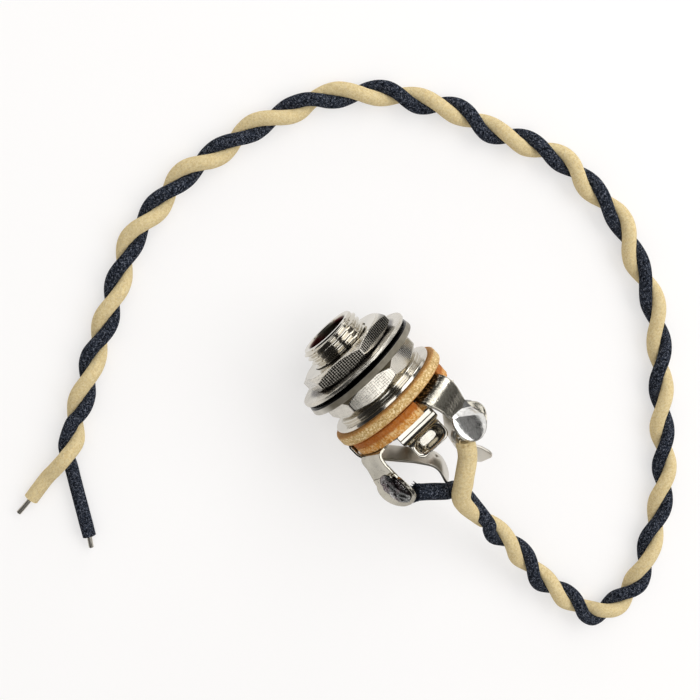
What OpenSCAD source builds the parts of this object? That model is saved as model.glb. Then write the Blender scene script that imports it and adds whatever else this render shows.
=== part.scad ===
// Open frame quarter inch phone jack with a twisted pair of cloth covered leads.
// Lengths are in millimetres. The jack lies on its side on Z = 0 and the plug goes in along +Y.
// Places along the jack are measured from the bushing's front face, and angles round it from +X up to +Z.

/* [Bushing] */
// Outside diameter of the bushing's thread
thread_d = 9.525; // [9.4:0.025:9.7]
// Diameter of the plug hole
bore_d = 6.5; // [6.4:0.05:6.7]
// Chamfer at the mouth of the plug hole
lip_chamfer = 0.3; // [0.1:0.05:0.5]
// Length of bare thread in front of the front nut
thread_exposed = 3; // [2:0.1:4]
// Diameter of the flange's raised hub
hub_d = 15.2; // [14.6:0.1:16]
// Thickness of the flange's raised hub
hub_t = 0.65; // [0.4:0.05:1]
// Diameter of the flange's rim
rim_d = 17.5; // [16.6:0.1:18.4]
// Thickness of the flange's rim
rim_t = 0.75; // [0.5:0.05:1.2]
// Diameter of the barrel that carries the contacts
barrel_d = 8.4; // [8:0.1:8.8]
// Diameter of the rim staked over the last plate
stake_d = 9.8; // [9.2:0.1:10]
// Thickness of the staked rim
stake_t = 0.5; // [0.3:0.05:0.8]

/* [Nuts and washers] */
// Distance across the flats of both nuts
nut_af = 14; // [13:0.1:14.6]
// Thickness of the front nut
front_nut_t = 2.4; // [2:0.1:3]
// Thickness of the rear nut
rear_nut_t = 3.2; // [2.6:0.1:3.8]
// Height of the chamfer on the nuts' corners
nut_chamfer = 0.55; // [0.2:0.05:0.8]
// Angle of a corner of the front nut
front_nut_turn = 45; // [0:1:60]
// Angle of a corner of the rear nut
rear_nut_turn = 52; // [0:1:60]
// Diameter of both flat washers
washer_d = 19.05; // [18:0.05:20]
// Thickness of the front washer
front_washer_t = 0.6; // [0.4:0.05:1]
// Thickness of the rear washer
rear_washer_t = 1.3; // [0.8:0.05:1.8]
// Diameter of the lock washer
lock_washer_d = 15; // [14:0.1:16]
// Thickness of the lock washer
lock_washer_t = 0.4; // [0.3:0.05:0.6]
// Number of teeth inside the lock washer
lock_teeth = 10; // [6:1:12]

/* [Insulators] */
// Diameter of the front insulator
front_insulator_d = 19.05; // [18:0.05:20]
// Thickness of the front insulator
front_insulator_t = 1.7; // [1.2:0.1:2.2]
// Diameter of the rear insulator
rear_insulator_d = 17.2; // [16.8:0.1:17.6]
// Thickness of the rear insulator
rear_insulator_t = 1.7; // [1.2:0.1:2.2]
// Rounding of the insulators' edges
insulator_round = 0.35; // [0.1:0.05:0.5]
// Wall of the collar that keeps the tip plates off the barrel
collar_wall = 0.8; // [0.6:0.05:1]

/* [Lugs] */
// Thickness of the lug plates
lug_t = 0.5; // [0.4:0.05:0.6]
// Width of a lug where it bends
lug_root_w = 5; // [4.6:0.1:5.2]
// Width of a lug's neck
lug_neck_w = 3.4; // [2.6:0.1:4]
// Diameter of a lug's eye
eye_d = 5.8; // [5.2:0.1:6]
// Diameter of the hole in a lug's eye
eye_hole_d = 2.2; // [1.8:0.1:2.6]
// Place of the tip lug's eye along the jack
tip_eye_at = 22.5; // [22.2:0.1:23.4]
// Place of the ground lug's eye along the jack
ground_eye_at = 22.8; // [22.4:0.1:23.6]
// Angle of the tip lug
tip_lug_turn = 129; // [127:0.5:131]
// Angle of the ground lug
ground_lug_turn = 26; // [25:1:32]
// Height of the solder on a lug's outer face
solder_h = 0.9; // [0.6:0.05:1.2]

/* [Springs] */
// Thickness of the spring plates
spring_t = 0.4; // [0.3:0.05:0.45]
// Width of a tip spring at its root
tip_spring_w = 4.8; // [4.4:0.1:5]
// Width of a tip spring at its contact
tip_contact_w = 3.6; // [3:0.1:4]
// Angle of the first tip spring
tip_spring_turn = -18; // [-20:0.5:-16]
// Place of the tip springs' contacts along the jack
tip_contact_at = 25.4; // [25:0.1:26]
// Distance of the first tip spring's contact from the axis
first_contact_r = 0.8; // [0.6:0.05:1.2]
// Distance of the second tip spring's contact from the axis
second_contact_r = 2.6; // [2.2:0.05:2.8]
// Distance of the first tip spring's tail from the axis
first_tail_r = 2.2; // [1.8:0.1:2.6]
// Distance of the second tip spring's tail from the axis
second_tail_r = 4.2; // [3.8:0.1:4.6]
// Place of the first tip spring's tail along the jack
first_tail_at = 28.8; // [28.4:0.1:29.4]
// Length of the jack from its front face to the second tip spring's tail
jack_l = 30.2; // [29.8:0.1:30.6]
// Width of a ground spring at its root
ground_spring_w = 6.6; // [6.2:0.1:6.8]
// Width of a ground spring's dished contact
ground_contact_w = 5.7; // [5:0.1:5.9]
// Distance of a ground spring's contact from the axis
ground_contact_r = 3.05; // [2.95:0.05:3.15]

/* [Leads] */
// Diameter of one cloth covered lead
lead_d = 2; // [1.8:0.05:2]
// Diameter of the bare wire in a lead
wire_d = 0.7; // [0.5:0.05:0.9]

/* [Hidden] */
$fn = 64;

// Clearances: nuts turning on the thread, loose washers on it, plates and insulators on the barrel,
// blades round the rear insulator, and the slit at a spring's root
nut_clear = 0.05;
washer_clear = 0.15;
plate_clear = 0.05;
wrap_clear = 0.1;
slit = 0.12;
margin = 1;

// Height of the jack's axis when the washers and the front insulator rest on the surface
axis_h = max(washer_d, front_insulator_d) / 2;

// Places along the jack, from the front face to the rear
front_nut_at = thread_exposed;
front_washer_at = front_nut_at + front_nut_t;
lock_washer_at = front_washer_at + front_washer_t;
rear_washer_at = lock_washer_at + lock_washer_t;
rear_nut_at = rear_washer_at + rear_washer_t;
hub_at = rear_nut_at + rear_nut_t;
rim_at = hub_at + hub_t;
front_insulator_at = rim_at + rim_t;
tip_lug_at = front_insulator_at + front_insulator_t;
tip_spring_at = tip_lug_at + lug_t;
rear_insulator_at = tip_spring_at + spring_t;
ground_spring_at = rear_insulator_at + rear_insulator_t;
ground_lug_at = ground_spring_at + spring_t;
stake_at = ground_lug_at + lug_t;
bushing_l = stake_at + stake_t;

// Radii that the plates share
collar_r = barrel_d / 2 + plate_clear + collar_wall;
tip_ring_r = 7.4;
ground_ring_r = 5.6;
lug_r = rear_insulator_d / 2 + wrap_clear + lug_t / 2;
wrap_r = rear_insulator_d / 2 + wrap_clear + spring_t / 2;
lug_taper_at = 16.6;
lug_neck_at = 20;
edge_break = 0.15;

// Side view of a tip spring as distance from the axis and place along the jack
tip_knee_at = ground_spring_at + 0.5;
tip_root = [tip_ring_r - margin, tip_spring_at + spring_t / 2];
tip_corner = [wrap_r, tip_root[1]];
tip_knee = [wrap_r, tip_knee_at];
first_contact = [first_contact_r, tip_contact_at];
second_contact = [second_contact_r, tip_contact_at];
first_tail = [first_tail_r, first_tail_at];
second_tail = [second_tail_r, jack_l];
tip_run = 1.3;

// Side view of a ground spring
ground_root = [ground_ring_r - margin, ground_spring_at + spring_t / 2];
ground_corner = [ground_ring_r, ground_root[1]];
ground_knee = [ground_ring_r, ground_spring_at + 2.3];
ground_mouth = [ground_ring_r - 0.9, ground_spring_at + 2.7];
ground_contact = [ground_contact_r, ground_spring_at + 4];
ground_lip = [ground_ring_r - 1, ground_spring_at + 5.4];
ground_run = 1.2;

// The middle of a lug's eye as the jack lies
function eye(turn, at) = [lug_r * cos(turn), at - jack_l / 2, axis_h + lug_r * sin(turn)];

// Routes of the leads: the twisted pair from the jack round the loop, then each lead near the jack and
// at its end. They are drawn for a jack whose front face is route_front before the origin, and move with it
route_front = 14.7;
lead_shift = [0, route_front - jack_l / 2, 0];
cream_start = eye(tip_lug_turn, tip_eye_at) - lead_shift + [1.4, 1.3, -1.1];
black_start = eye(ground_lug_turn, ground_eye_at) - lead_shift + [-1.4, 1.5, -0.1];
twist_route = [[2.5, 19.5, 9], [2.5, 25.5, 6.5], [2, 31.5, 4.5], [2.5, 38, 3], [1.5, 44, 2.2],
               [0.5, 49, 2], [-3.5, 50.5, 2], [-9, 50, 2], [-14, 47, 2],
               [-20, 43, 2], [-24.5, 38.5, 2], [-28, 34, 2],
               [-32.5, 28.5, 2], [-36.5, 23.5, 2], [-40, 17.5, 2], [-42, 11.5, 2], [-44, 5.5, 2],
               [-44, -2, 2], [-43.5, -7.5, 2], [-41, -13.5, 2], [-38.5, -18, 2], [-36.5, -24, 2],
               [-33.5, -28.5, 2], [-30, -33.5, 2], [-23, -39, 2], [-19, -40.5, 2], [-13, -42.5, 2],
               [-7, -43.5, 2], [-1, -44.5, 2], [5, -44, 2], [11, -43, 2], [17, -40, 2], [21.5, -37.5, 2],
               [27.5, -34.5, 2], [32.5, -31.5, 2], [38.5, -28.5, 2]];
cream_near_route = [cream_start, [-2.2, 11.6, 15.2], [0.5, 14.2, 14.4], [2.6, 16.8, 12.6],
                    [3.5, 19.5, 9]];
black_near_route = [black_start, [5, 12.4, 13.2], [3.5, 14.6, 11.8], [2, 16.8, 9.6], [1.5, 19.5, 9]];
cream_far_route = [[38, -29.5, 2], [41, -28.5, 1.6], [45, -27, 1.2], [49.5, -26, 1.2]];
black_far_route = [[39, -27.5, 2], [41, -25, 1.4], [43.5, -21.5, 1.1], [47, -15.5, 1.1]];
cream_tip_route = [[49.5, -26, 1.2], [51, -25.8, 1.1], [52, -25.6, 1]];
black_tip_route = [[47, -15.5, 1.1], [47.6, -14.8, 1], [48, -14.2, 0.8]];
lead_sides = 8;

nickel = [0.78, 0.77, 0.74];
tin = [0.66, 0.65, 0.62];
tan_fibre = [0.72, 0.53, 0.28];
dark_fibre = [0.65, 0.38, 0.12];
cream_cloth = [0.84, 0.75, 0.51];
black_cloth = [0.08, 0.09, 0.13];

// Lays the jack along +Y, with its axis at the resting height and its length centred on the origin
module placed() {
    translate([0, -jack_l / 2, axis_h])
        rotate([-90, 0, 0])
            children();
}

// Moves the leads with the jack's front face
module laid() {
    translate(lead_shift)
        children();
}

// Turns a shape drawn at +X round the axis, up towards +Z
module turned(a) {
    rotate([0, 0, -a])
        children();
}

// A unit vector
function unit(v) = v / norm(v);

// The normal to the left of a step in a side view
function left_of(v) = unit([-v[1], v[0]]);

// A rounded corner at p, between a and b, that starts d away from the corner
function corner(a, p, b, d, steps = 6) =
    let (s = p + d * unit(a - p), e = p + d * unit(b - p))
    [for (i = [0 : steps]) let (t = i / steps) (1 - t) * (1 - t) * s + 2 * t * (1 - t) * p + t * t * e];

// The side of a bent strip of thickness t whose middle follows the points p
function mitre(p, i) =
    let (n = len(p),
         a = left_of(p[max(i, 1)] - p[max(i, 1) - 1]),
         b = left_of(p[min(i, n - 2) + 1] - p[min(i, n - 2)]),
         m = unit(a + b))
    m / (m * a);
function strip(p, t) = concat([for (i = [0 : len(p) - 1]) p[i] + mitre(p, i) * t / 2],
                              [for (i = [len(p) - 1 : -1 : 0]) p[i] - mitre(p, i) * t / 2]);

// A bent strip of width w, drawn at +X
module leaf(p, t, w) {
    rotate([90, 0, 0])
        linear_extrude(w, center = true)
            polygon(strip(p, t));
}

// Cuts a bent strip to an outline of width against place along the jack
module outlined() {
    intersection() {
        children(0);
        rotate([90, 0, 90])
            linear_extrude(2 * axis_h)
                children(1);
    }
}

// A flat ring
module ring(r_out, r_in, t) {
    difference() {
        cylinder(r = r_out, h = t);
        translate([0, 0, -margin])
            cylinder(r = r_in, h = t + 2 * margin);
    }
}

// A ring with its outer edges cut back
module eased_ring(r_out, r_in, t, e) {
    rotate_extrude()
        polygon([[r_in, 0], [r_out - e, 0], [r_out, e], [r_out, t - e], [r_out - e, t], [r_in, t]]);
}

// A ring with rounded outer edges
module rounded_ring(r_out, r_in, t, e) {
    rotate_extrude()
        difference() {
            union() {
                translate([r_in, 0])
                    square([r_out - e - r_in, t]);
                translate([r_in, e])
                    square([r_out - r_in, t - 2 * e]);
                translate([r_out - e, e])
                    circle(r = e);
                translate([r_out - e, t - e])
                    circle(r = e);
            }
            translate([r_in - 2 * margin, -margin])
                square([2 * margin, t + 2 * margin]);
        }
}

// A hex nut with chamfered corners on both faces
module nut(t, turn) {
    flat_r = nut_af / 2;
    point_r = flat_r / cos(30);
    difference() {
        intersection() {
            turned(turn)
                cylinder(r = point_r, h = t, $fn = 6);
            rotate_extrude()
                polygon([[0, 0], [flat_r - edge_break, 0], [point_r + edge_break, nut_chamfer],
                         [point_r + edge_break, t - nut_chamfer], [flat_r - edge_break, t], [0, t]]);
        }
        translate([0, 0, -margin])
            cylinder(d = thread_d + 2 * nut_clear, h = t + 2 * margin);
    }
}

// A solder lug: a ring round the barrel and a blade that bends to the rear and ends in an eye
module lug(at, ring_out, ring_in, turn, eye_at) {
    mid = at + lug_t / 2;
    path = concat([[ring_in + lug_t, mid]],
                  corner([ring_in, mid], [lug_r, mid], [lug_r, eye_at], 0.9),
                  [[lug_r, eye_at + eye_d]]);
    translate([0, 0, at])
        ring(ring_out, ring_in, lug_t);
    turned(turn)
        outlined() {
            leaf(path, lug_t, eye_d + margin);
            difference() {
                union() {
                    translate([-lug_root_w / 2, at])
                        square([lug_root_w, lug_taper_at + margin - at]);
                    polygon([[-lug_root_w / 2, lug_taper_at + margin / 2],
                             [lug_root_w / 2, lug_taper_at + margin / 2],
                             [lug_neck_w / 2, lug_neck_at], [lug_neck_w / 2, eye_at],
                             [-lug_neck_w / 2, eye_at], [-lug_neck_w / 2, lug_neck_at]]);
                    translate([0, eye_at])
                        circle(d = eye_d);
                }
                translate([0, eye_at])
                    circle(d = eye_hole_d);
            }
        }
}

// A cap cut from a ball
module cap(r, h) {
    ball_r = (r * r + h * h) / (2 * h);
    intersection() {
        translate([0, 0, h - ball_r])
            sphere(r = ball_r);
        cylinder(r = r + margin, h = h + margin);
    }
}

// Solder that fills a lug's eye and stands proud on both faces
module solder(turn, eye_at) {
    cap_r = eye_d / 2 - 0.3;
    turned(turn)
        translate([lug_r, 0, eye_at])
            rotate([0, 90, 0])
                union() {
                    translate([0, 0, lug_t / 2])
                        cap(cap_r, solder_h);
                    translate([0, 0, -lug_t / 2])
                        cylinder(d = eye_hole_d, h = lug_t);
                    mirror([0, 0, 1])
                        translate([0, 0, lug_t / 2])
                            cap(cap_r - 0.5, solder_h / 2);
                }
}

// The root of a tip spring, from its ring round the rear insulator to the slit
module tip_spring_root(turn, contact) {
    run_end = tip_knee + tip_run * unit(contact - tip_knee);
    turned(turn)
        leaf(concat([tip_root], corner(tip_root, tip_corner, tip_knee, 0.5),
                    corner(tip_corner, tip_knee, contact, 0.9), [run_end]), spring_t, tip_spring_w);
}

// The free arm of a tip spring, from the slit over the contact to the tail
module tip_spring_arm(turn, contact, tail) {
    start = tip_knee + (tip_run + slit) * unit(contact - tip_knee);
    past_tail = tail + margin * unit(tail - contact);
    root_half = tip_spring_w / 2;
    half = tip_contact_w / 2;
    color(nickel)
        placed()
            turned(turn)
                outlined() {
                    leaf(concat([start], corner(start, contact, tail, 1.4), [past_tail]),
                         spring_t, tip_spring_w);
                    polygon([[-root_half, start[1] - margin], [root_half, start[1] - margin],
                             [half, contact[1] - 2 * margin], [half, tail[1] - margin],
                             [half - margin, tail[1]], [margin - half, tail[1]],
                             [-half, tail[1] - margin], [-half, contact[1] - 2 * margin]]);
                }
}

// The root of a ground spring, from the ring to the slit
module ground_spring_root(turn) {
    run_end = ground_corner + ground_run * unit(ground_knee - ground_corner);
    turned(turn)
        leaf(concat([ground_root], corner(ground_root, ground_corner, ground_knee, 0.5), [run_end]),
             spring_t, ground_spring_w);
}

// The free arm of a ground spring, which dips to the plug and turns out again
module ground_spring_arm(turn) {
    start = ground_corner + (ground_run + slit) * unit(ground_knee - ground_corner);
    half = ground_contact_w / 2;
    ground_end = ground_lip[1] + margin / 2;
    color(nickel)
        placed()
            turned(turn)
                outlined() {
                    leaf(concat([start], corner(start, ground_knee, ground_mouth, 0.3),
                                corner(ground_knee, ground_mouth, ground_contact, 0.3),
                                corner(ground_mouth, ground_contact, ground_lip, 1.1), [ground_lip]),
                         spring_t, ground_spring_w);
                    union() {
                        translate([-ground_spring_w / 2, start[1] - margin])
                            square([ground_spring_w, ground_mouth[1] - start[1] + margin]);
                        polygon([[-half, ground_knee[1]], [half, ground_knee[1]],
                                 [half, ground_lip[1] - margin], [half - margin, ground_end],
                                 [margin - half, ground_end], [-half, ground_lip[1] - margin]]);
                    }
                }
}

// A round cord of radius r along a route that never runs straight up
module cord(p, r) {
    n = len(p);
    s = lead_sides;
    dir = [for (i = [0 : n - 1]) unit(p[min(i + 1, n - 1)] - p[max(i - 1, 0)])];
    side = [for (d = dir) unit(cross(d, [0, 0, 1]))];
    points = [for (i = [0 : n - 1]) for (k = [0 : s - 1])
              let (a = 360 * (k + 0.5) / s)
              p[i] + r * (cos(a) * side[i] + sin(a) * cross(side[i], dir[i]))];
    walls = [for (i = [0 : n - 2]) for (k = [0 : s - 1])
             let (a = i * s + k, b = i * s + (k + 1) % s)
             each [[a, b, a + s], [b, b + s, a + s]]];
    ends = [[for (k = [s - 1 : -1 : 0]) k], [for (k = [0 : s - 1]) (n - 1) * s + k]];
    polyhedron(points, concat(ends, walls));
}

module bushing() {
    bore_r = bore_d / 2;
    thread_r = thread_d / 2;
    color(nickel)
        placed()
            rotate_extrude()
                polygon([[bore_r + lip_chamfer, 0], [thread_r - lip_chamfer, 0], [thread_r, lip_chamfer],
                         [thread_r, hub_at], [barrel_d / 2, hub_at], [barrel_d / 2, stake_at],
                         [stake_d / 2, stake_at], [stake_d / 2 - edge_break, bushing_l],
                         [bore_r, bushing_l], [bore_r, lip_chamfer]]);
}

module flange() {
    color(nickel)
        placed()
            rotate_extrude()
                polygon([[barrel_d / 2, hub_at], [hub_d / 2, hub_at], [hub_d / 2, rim_at],
                         [rim_d / 2 - edge_break, rim_at], [rim_d / 2, rim_at + edge_break],
                         [rim_d / 2, front_insulator_at], [barrel_d / 2, front_insulator_at]]);
}

module front_nut() {
    color(nickel)
        placed()
            translate([0, 0, front_nut_at])
                nut(front_nut_t, front_nut_turn);
}

module front_washer() {
    color(nickel)
        placed()
            translate([0, 0, front_washer_at])
                eased_ring(washer_d / 2, thread_d / 2 + washer_clear, front_washer_t, edge_break);
}

module lock_washer() {
    inner_r = thread_d / 2 + washer_clear;
    web_r = (lock_washer_d / 2 + inner_r) / 2;
    slot_w = 2 * inner_r * sin(90 / lock_teeth);
    color(tin)
        placed()
            translate([0, 0, lock_washer_at])
                difference() {
                    ring(lock_washer_d / 2, inner_r, lock_washer_t);
                    for (i = [0 : lock_teeth - 1])
                        rotate([0, 0, 360 * i / lock_teeth])
                            translate([0, -slot_w / 2, -margin])
                                cube([web_r, slot_w, lock_washer_t + 2 * margin]);
                }
}

module rear_washer() {
    color(nickel)
        placed()
            translate([0, 0, rear_washer_at])
                eased_ring(washer_d / 2, thread_d / 2 + washer_clear, rear_washer_t, 2 * edge_break);
}

module rear_nut() {
    color(nickel)
        placed()
            translate([0, 0, rear_nut_at])
                nut(rear_nut_t, rear_nut_turn);
}

module front_insulator() {
    color(tan_fibre)
        placed()
            translate([0, 0, front_insulator_at])
                rounded_ring(front_insulator_d / 2, barrel_d / 2 + plate_clear, front_insulator_t,
                             insulator_round);
}

module tip_lug() {
    color(nickel)
        placed()
            lug(tip_lug_at, tip_ring_r, collar_r + plate_clear, tip_lug_turn, tip_eye_at);
}

module tip_spring_plate() {
    color(nickel)
        placed() {
            translate([0, 0, tip_spring_at])
                ring(tip_ring_r, collar_r + plate_clear, spring_t);
            tip_spring_root(tip_spring_turn, first_contact);
            tip_spring_root(180 - tip_spring_turn, second_contact);
        }
}

module tip_spring_a() {
    tip_spring_arm(tip_spring_turn, first_contact, first_tail);
}

module tip_spring_b() {
    tip_spring_arm(180 - tip_spring_turn, second_contact, second_tail);
}

module rear_insulator() {
    color(dark_fibre)
        placed() {
            translate([0, 0, rear_insulator_at])
                rounded_ring(rear_insulator_d / 2, barrel_d / 2 + plate_clear, rear_insulator_t,
                             insulator_round);
            translate([0, 0, tip_lug_at])
                ring(collar_r, barrel_d / 2 + plate_clear, rear_insulator_at - tip_lug_at);
        }
}

module ground_spring_plate() {
    color(nickel)
        placed() {
            translate([0, 0, ground_spring_at])
                ring(ground_ring_r, barrel_d / 2 + plate_clear, spring_t);
            ground_spring_root(90);
            ground_spring_root(270);
        }
}

module ground_spring_a() {
    ground_spring_arm(90);
}

module ground_spring_b() {
    ground_spring_arm(270);
}

module ground_lug() {
    color(nickel)
        placed()
            lug(ground_lug_at, ground_ring_r - margin / 2, barrel_d / 2 + plate_clear, ground_lug_turn,
                ground_eye_at);
}

module tip_solder() {
    color(tin)
        placed()
            solder(tip_lug_turn, tip_eye_at);
}

module ground_solder() {
    color(tin)
        placed()
            solder(ground_lug_turn, ground_eye_at);
}

module lead_twist() {
    color(cream_cloth)
        laid()
            cord(twist_route, lead_d);
}

module cream_near() {
    color(cream_cloth)
        laid()
            cord(cream_near_route, lead_d / 2);
}

module black_near() {
    color(black_cloth)
        laid()
            cord(black_near_route, lead_d / 2);
}

module cream_far() {
    color(cream_cloth)
        laid()
            cord(cream_far_route, lead_d / 2);
}

module black_far() {
    color(black_cloth)
        laid()
            cord(black_far_route, lead_d / 2);
}

module cream_tip() {
    color(tin)
        laid()
            cord(cream_tip_route, wire_d / 2);
}

module black_tip() {
    color(tin)
        laid()
            cord(black_tip_route, wire_d / 2);
}

bushing();
flange();
front_nut();
front_washer();
lock_washer();
rear_washer();
rear_nut();
front_insulator();
tip_lug();
tip_spring_plate();
tip_spring_a();
tip_spring_b();
rear_insulator();
ground_spring_plate();
ground_spring_a();
ground_spring_b();
ground_lug();
tip_solder();
ground_solder();
lead_twist();
cream_near();
black_near();
cream_far();
black_far();
cream_tip();
black_tip();
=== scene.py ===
"""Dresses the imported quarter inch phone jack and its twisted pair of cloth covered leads.

Shapes are worked out in millimetres in the jack's own places: across (+X), along (from the bushing's
front face) and up (from the jack's axis). They are turned into metres in the shared frame at the end.
"""
import math

import bmesh
import bpy
import numpy as np
from bpy.props import FloatProperty, FloatVectorProperty, IntProperty, PointerProperty
from mathutils import Matrix, Vector, noise


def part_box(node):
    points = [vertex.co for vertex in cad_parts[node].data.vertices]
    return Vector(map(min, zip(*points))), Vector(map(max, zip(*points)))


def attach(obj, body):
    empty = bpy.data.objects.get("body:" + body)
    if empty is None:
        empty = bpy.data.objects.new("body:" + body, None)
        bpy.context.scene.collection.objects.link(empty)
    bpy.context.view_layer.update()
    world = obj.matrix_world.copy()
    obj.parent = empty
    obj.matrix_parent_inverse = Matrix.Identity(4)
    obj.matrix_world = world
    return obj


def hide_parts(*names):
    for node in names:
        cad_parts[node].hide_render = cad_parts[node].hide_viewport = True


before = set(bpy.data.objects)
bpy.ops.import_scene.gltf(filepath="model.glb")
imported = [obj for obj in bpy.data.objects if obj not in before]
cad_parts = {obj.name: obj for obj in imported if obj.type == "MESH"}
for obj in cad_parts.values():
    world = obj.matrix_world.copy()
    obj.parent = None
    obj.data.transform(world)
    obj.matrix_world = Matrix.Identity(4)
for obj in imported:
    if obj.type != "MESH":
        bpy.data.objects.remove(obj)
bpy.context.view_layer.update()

bl_info = {
    "name": "Phone Jack Dresser",
    "version": (1, 0, 0),
    "blender": (4, 5, 0),
    "location": "View3D > Sidebar > Phone Jack",
    "description": "Builds the visible pieces of an open frame phone jack round its packed solids",
    "category": "Object",
}

MM = 0.001
UV_NAME = "surface"

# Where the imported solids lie: the front face, the axis and the spans of the stacked pieces
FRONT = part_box("bushing")[0].y
AXIS = sum(corner.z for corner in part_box("front_washer")) / 2


def span(node):
    """The places in millimetres from the front face where a node starts and ends."""
    low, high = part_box(node)
    return (low.y - FRONT) / MM, (high.y - FRONT) / MM


def reach(node):
    """The radius in millimetres of a round node."""
    low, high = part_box(node)
    return (high.x - low.x) / 2 / MM


def linear(red, green, blue):
    """A colour given as 0 to 255 screen values, as Blender works with it."""
    return tuple((v / 12.92 if v <= 0.04045 else ((v + 0.055) / 1.055) ** 2.4)
                 for v in (red / 255, green / 255, blue / 255))


def length(name, description, value):
    """A length property, from millimetres."""
    return FloatProperty(name=name, description=description, default=value * MM, min=0.0, unit="LENGTH",
                         precision=5)


def colour(name, description, value):
    """A colour property, from 0 to 255 screen values."""
    return FloatVectorProperty(name=name, description=description, subtype="COLOR", size=3, min=0.0,
                               max=1.0, default=linear(*value))


def in_mm(group, *names):
    """Lengths of a property group in millimetres."""
    return [getattr(group, name) / MM for name in names]


# Sizes and colours that a user would change


class JackSizes(bpy.types.PropertyGroup):
    """Sizes of the jack's turned and bent pieces."""
    thread_pitch: length("Thread pitch", "Distance from one turn of the thread to the next", 25.4 / 32)
    thread_depth: length("Thread depth", "Depth of the thread's groove", 0.42)
    bore: length("Plug hole", "Diameter of the plug hole", 6.5)
    barrel: length("Barrel", "Diameter of the barrel inside the insulators", 8.4)
    hub: length("Hub", "Diameter of the flange's raised hub", 15.2)
    nut_flats: length("Nut size", "Distance across the flats of both nuts", 14.0)
    nut_chamfer: FloatProperty(
        name="Nut chamfer", description="Share of a nut's height taken at its corners",
        default=0.3, min=0.05, max=0.45, subtype="FACTOR")
    lug_sheet: length("Lug sheet", "Thickness of the lugs", 0.5)
    spring_sheet: length("Spring sheet", "Thickness of the springs", 0.4)
    eye_length: length("Eye length", "Length of a lug's eye", 5.7)
    spring_radius: length("Spring distance", "Distance of the tip springs' roots from the axis", 8.9)
    lock_teeth: IntProperty(name="Lock washer teeth", description="Number of teeth inside the lock washer",
                            default=10, min=4, max=24)


class LeadSizes(bpy.types.PropertyGroup):
    """Sizes of the cloth covered leads."""
    pair: length("Pair", "Distance between the middles of the two leads where they are twisted", 1.76)
    cream_cloth: length("Cream cloth", "Diameter of the cream lead where nothing presses it", 2.2)
    black_cloth: length("Black cloth", "Diameter of the black lead where nothing presses it", 2.02)
    cream_start: length("Cream start", "Diameter of the cream lead at its lug", 2.85)
    black_start: length("Black start", "Diameter of the black lead at its lug", 2.5)
    wire: length("Wire", "Diameter of the bare wire", 0.75)
    fray: length("Fray", "Length of the loose threads at a cut end", 0.8)


class JackColours(bpy.types.PropertyGroup):
    """Colours of the finishes."""
    nickel: colour("Nickel", "Bright nickel plating", (212, 207, 196))
    tin: colour("Tin", "Tinned sheet", (192, 187, 174))
    solder: colour("Solder", "Solder on the lugs", (246, 246, 243))
    tan_fibre: colour("Tan fibre", "Front insulator", (200, 163, 101))
    dark_fibre: colour("Orange fibre", "Rear insulator", (214, 144, 60))
    cream: colour("Cream cloth", "Cream lead", (226, 207, 160))
    black: colour("Black cloth", "Black lead", (6, 10, 17))
    floor: colour("Floor", "Floor under the jack", (250, 248, 247))


# Node trees


class Value:
    """A number in a node tree that takes part in sums."""

    def __init__(self, nodes, socket):
        self.nodes = nodes
        self.socket = socket

    def __add__(self, other):
        return self.nodes.math("ADD", self, other)

    def __radd__(self, other):
        return self.nodes.math("ADD", other, self)

    def __sub__(self, other):
        return self.nodes.math("SUBTRACT", self, other)

    def __rsub__(self, other):
        return self.nodes.math("SUBTRACT", other, self)

    def __mul__(self, other):
        return self.nodes.math("MULTIPLY", self, other)

    def __rmul__(self, other):
        return self.nodes.math("MULTIPLY", other, self)


class Nodes:
    """Adds nodes to a tree."""

    def __init__(self, tree):
        self.tree = tree

    def add(self, kind, settings=None, inputs=None, output=0):
        """A node of any kind, with its settings and the values or links of its sockets."""
        node = self.tree.nodes.new(kind)
        for key, setting in (settings or {}).items():
            setattr(node, key, setting)
        for key, given in (inputs or {}).items():
            if isinstance(given, Value):
                self.tree.links.new(given.socket, node.inputs[key])
            else:
                node.inputs[key].default_value = given
        return Value(self, node.outputs[output]) if node.outputs else node

    def math(self, operation, *values):
        """A Math node."""
        return self.add("ShaderNodeMath", {"operation": operation}, dict(enumerate(values)))

    def between(self, value, low, high):
        """0 below low, 1 above high and smooth between them."""
        return self.add("ShaderNodeMapRange", {"interpolation_type": "SMOOTHSTEP"},
                        {"Value": value, "From Min": low, "From Max": high})

    def mix(self, share, first, second):
        """One colour changing into another."""
        pad = [(*c, 1.0) if isinstance(c, tuple) else c for c in (first, second)]
        return self.add("ShaderNodeMix", {"data_type": "RGBA"}, {0: share, 6: pad[0], 7: pad[1]}, 2)

    def parts(self, vector):
        """The three parts of a vector."""
        node = self.add("ShaderNodeSeparateXYZ", None, {0: vector})
        return [Value(self, socket) for socket in node.socket.node.outputs]

    def joined(self, *values):
        """A vector from up to three numbers."""
        return self.add("ShaderNodeCombineXYZ", None, dict(enumerate(values)))

    def stretched(self, place, scale):
        """Coordinates scaled along each axis."""
        return self.add("ShaderNodeMapping", None, {"Vector": place, "Scale": scale})

    def grain(self, place, scale, detail=2.0, rough=0.5):
        """Soft noise from 0 to 1."""
        return self.add("ShaderNodeTexNoise", None,
                        {"Vector": place, "Scale": scale, "Detail": detail, "Roughness": rough})


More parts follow.
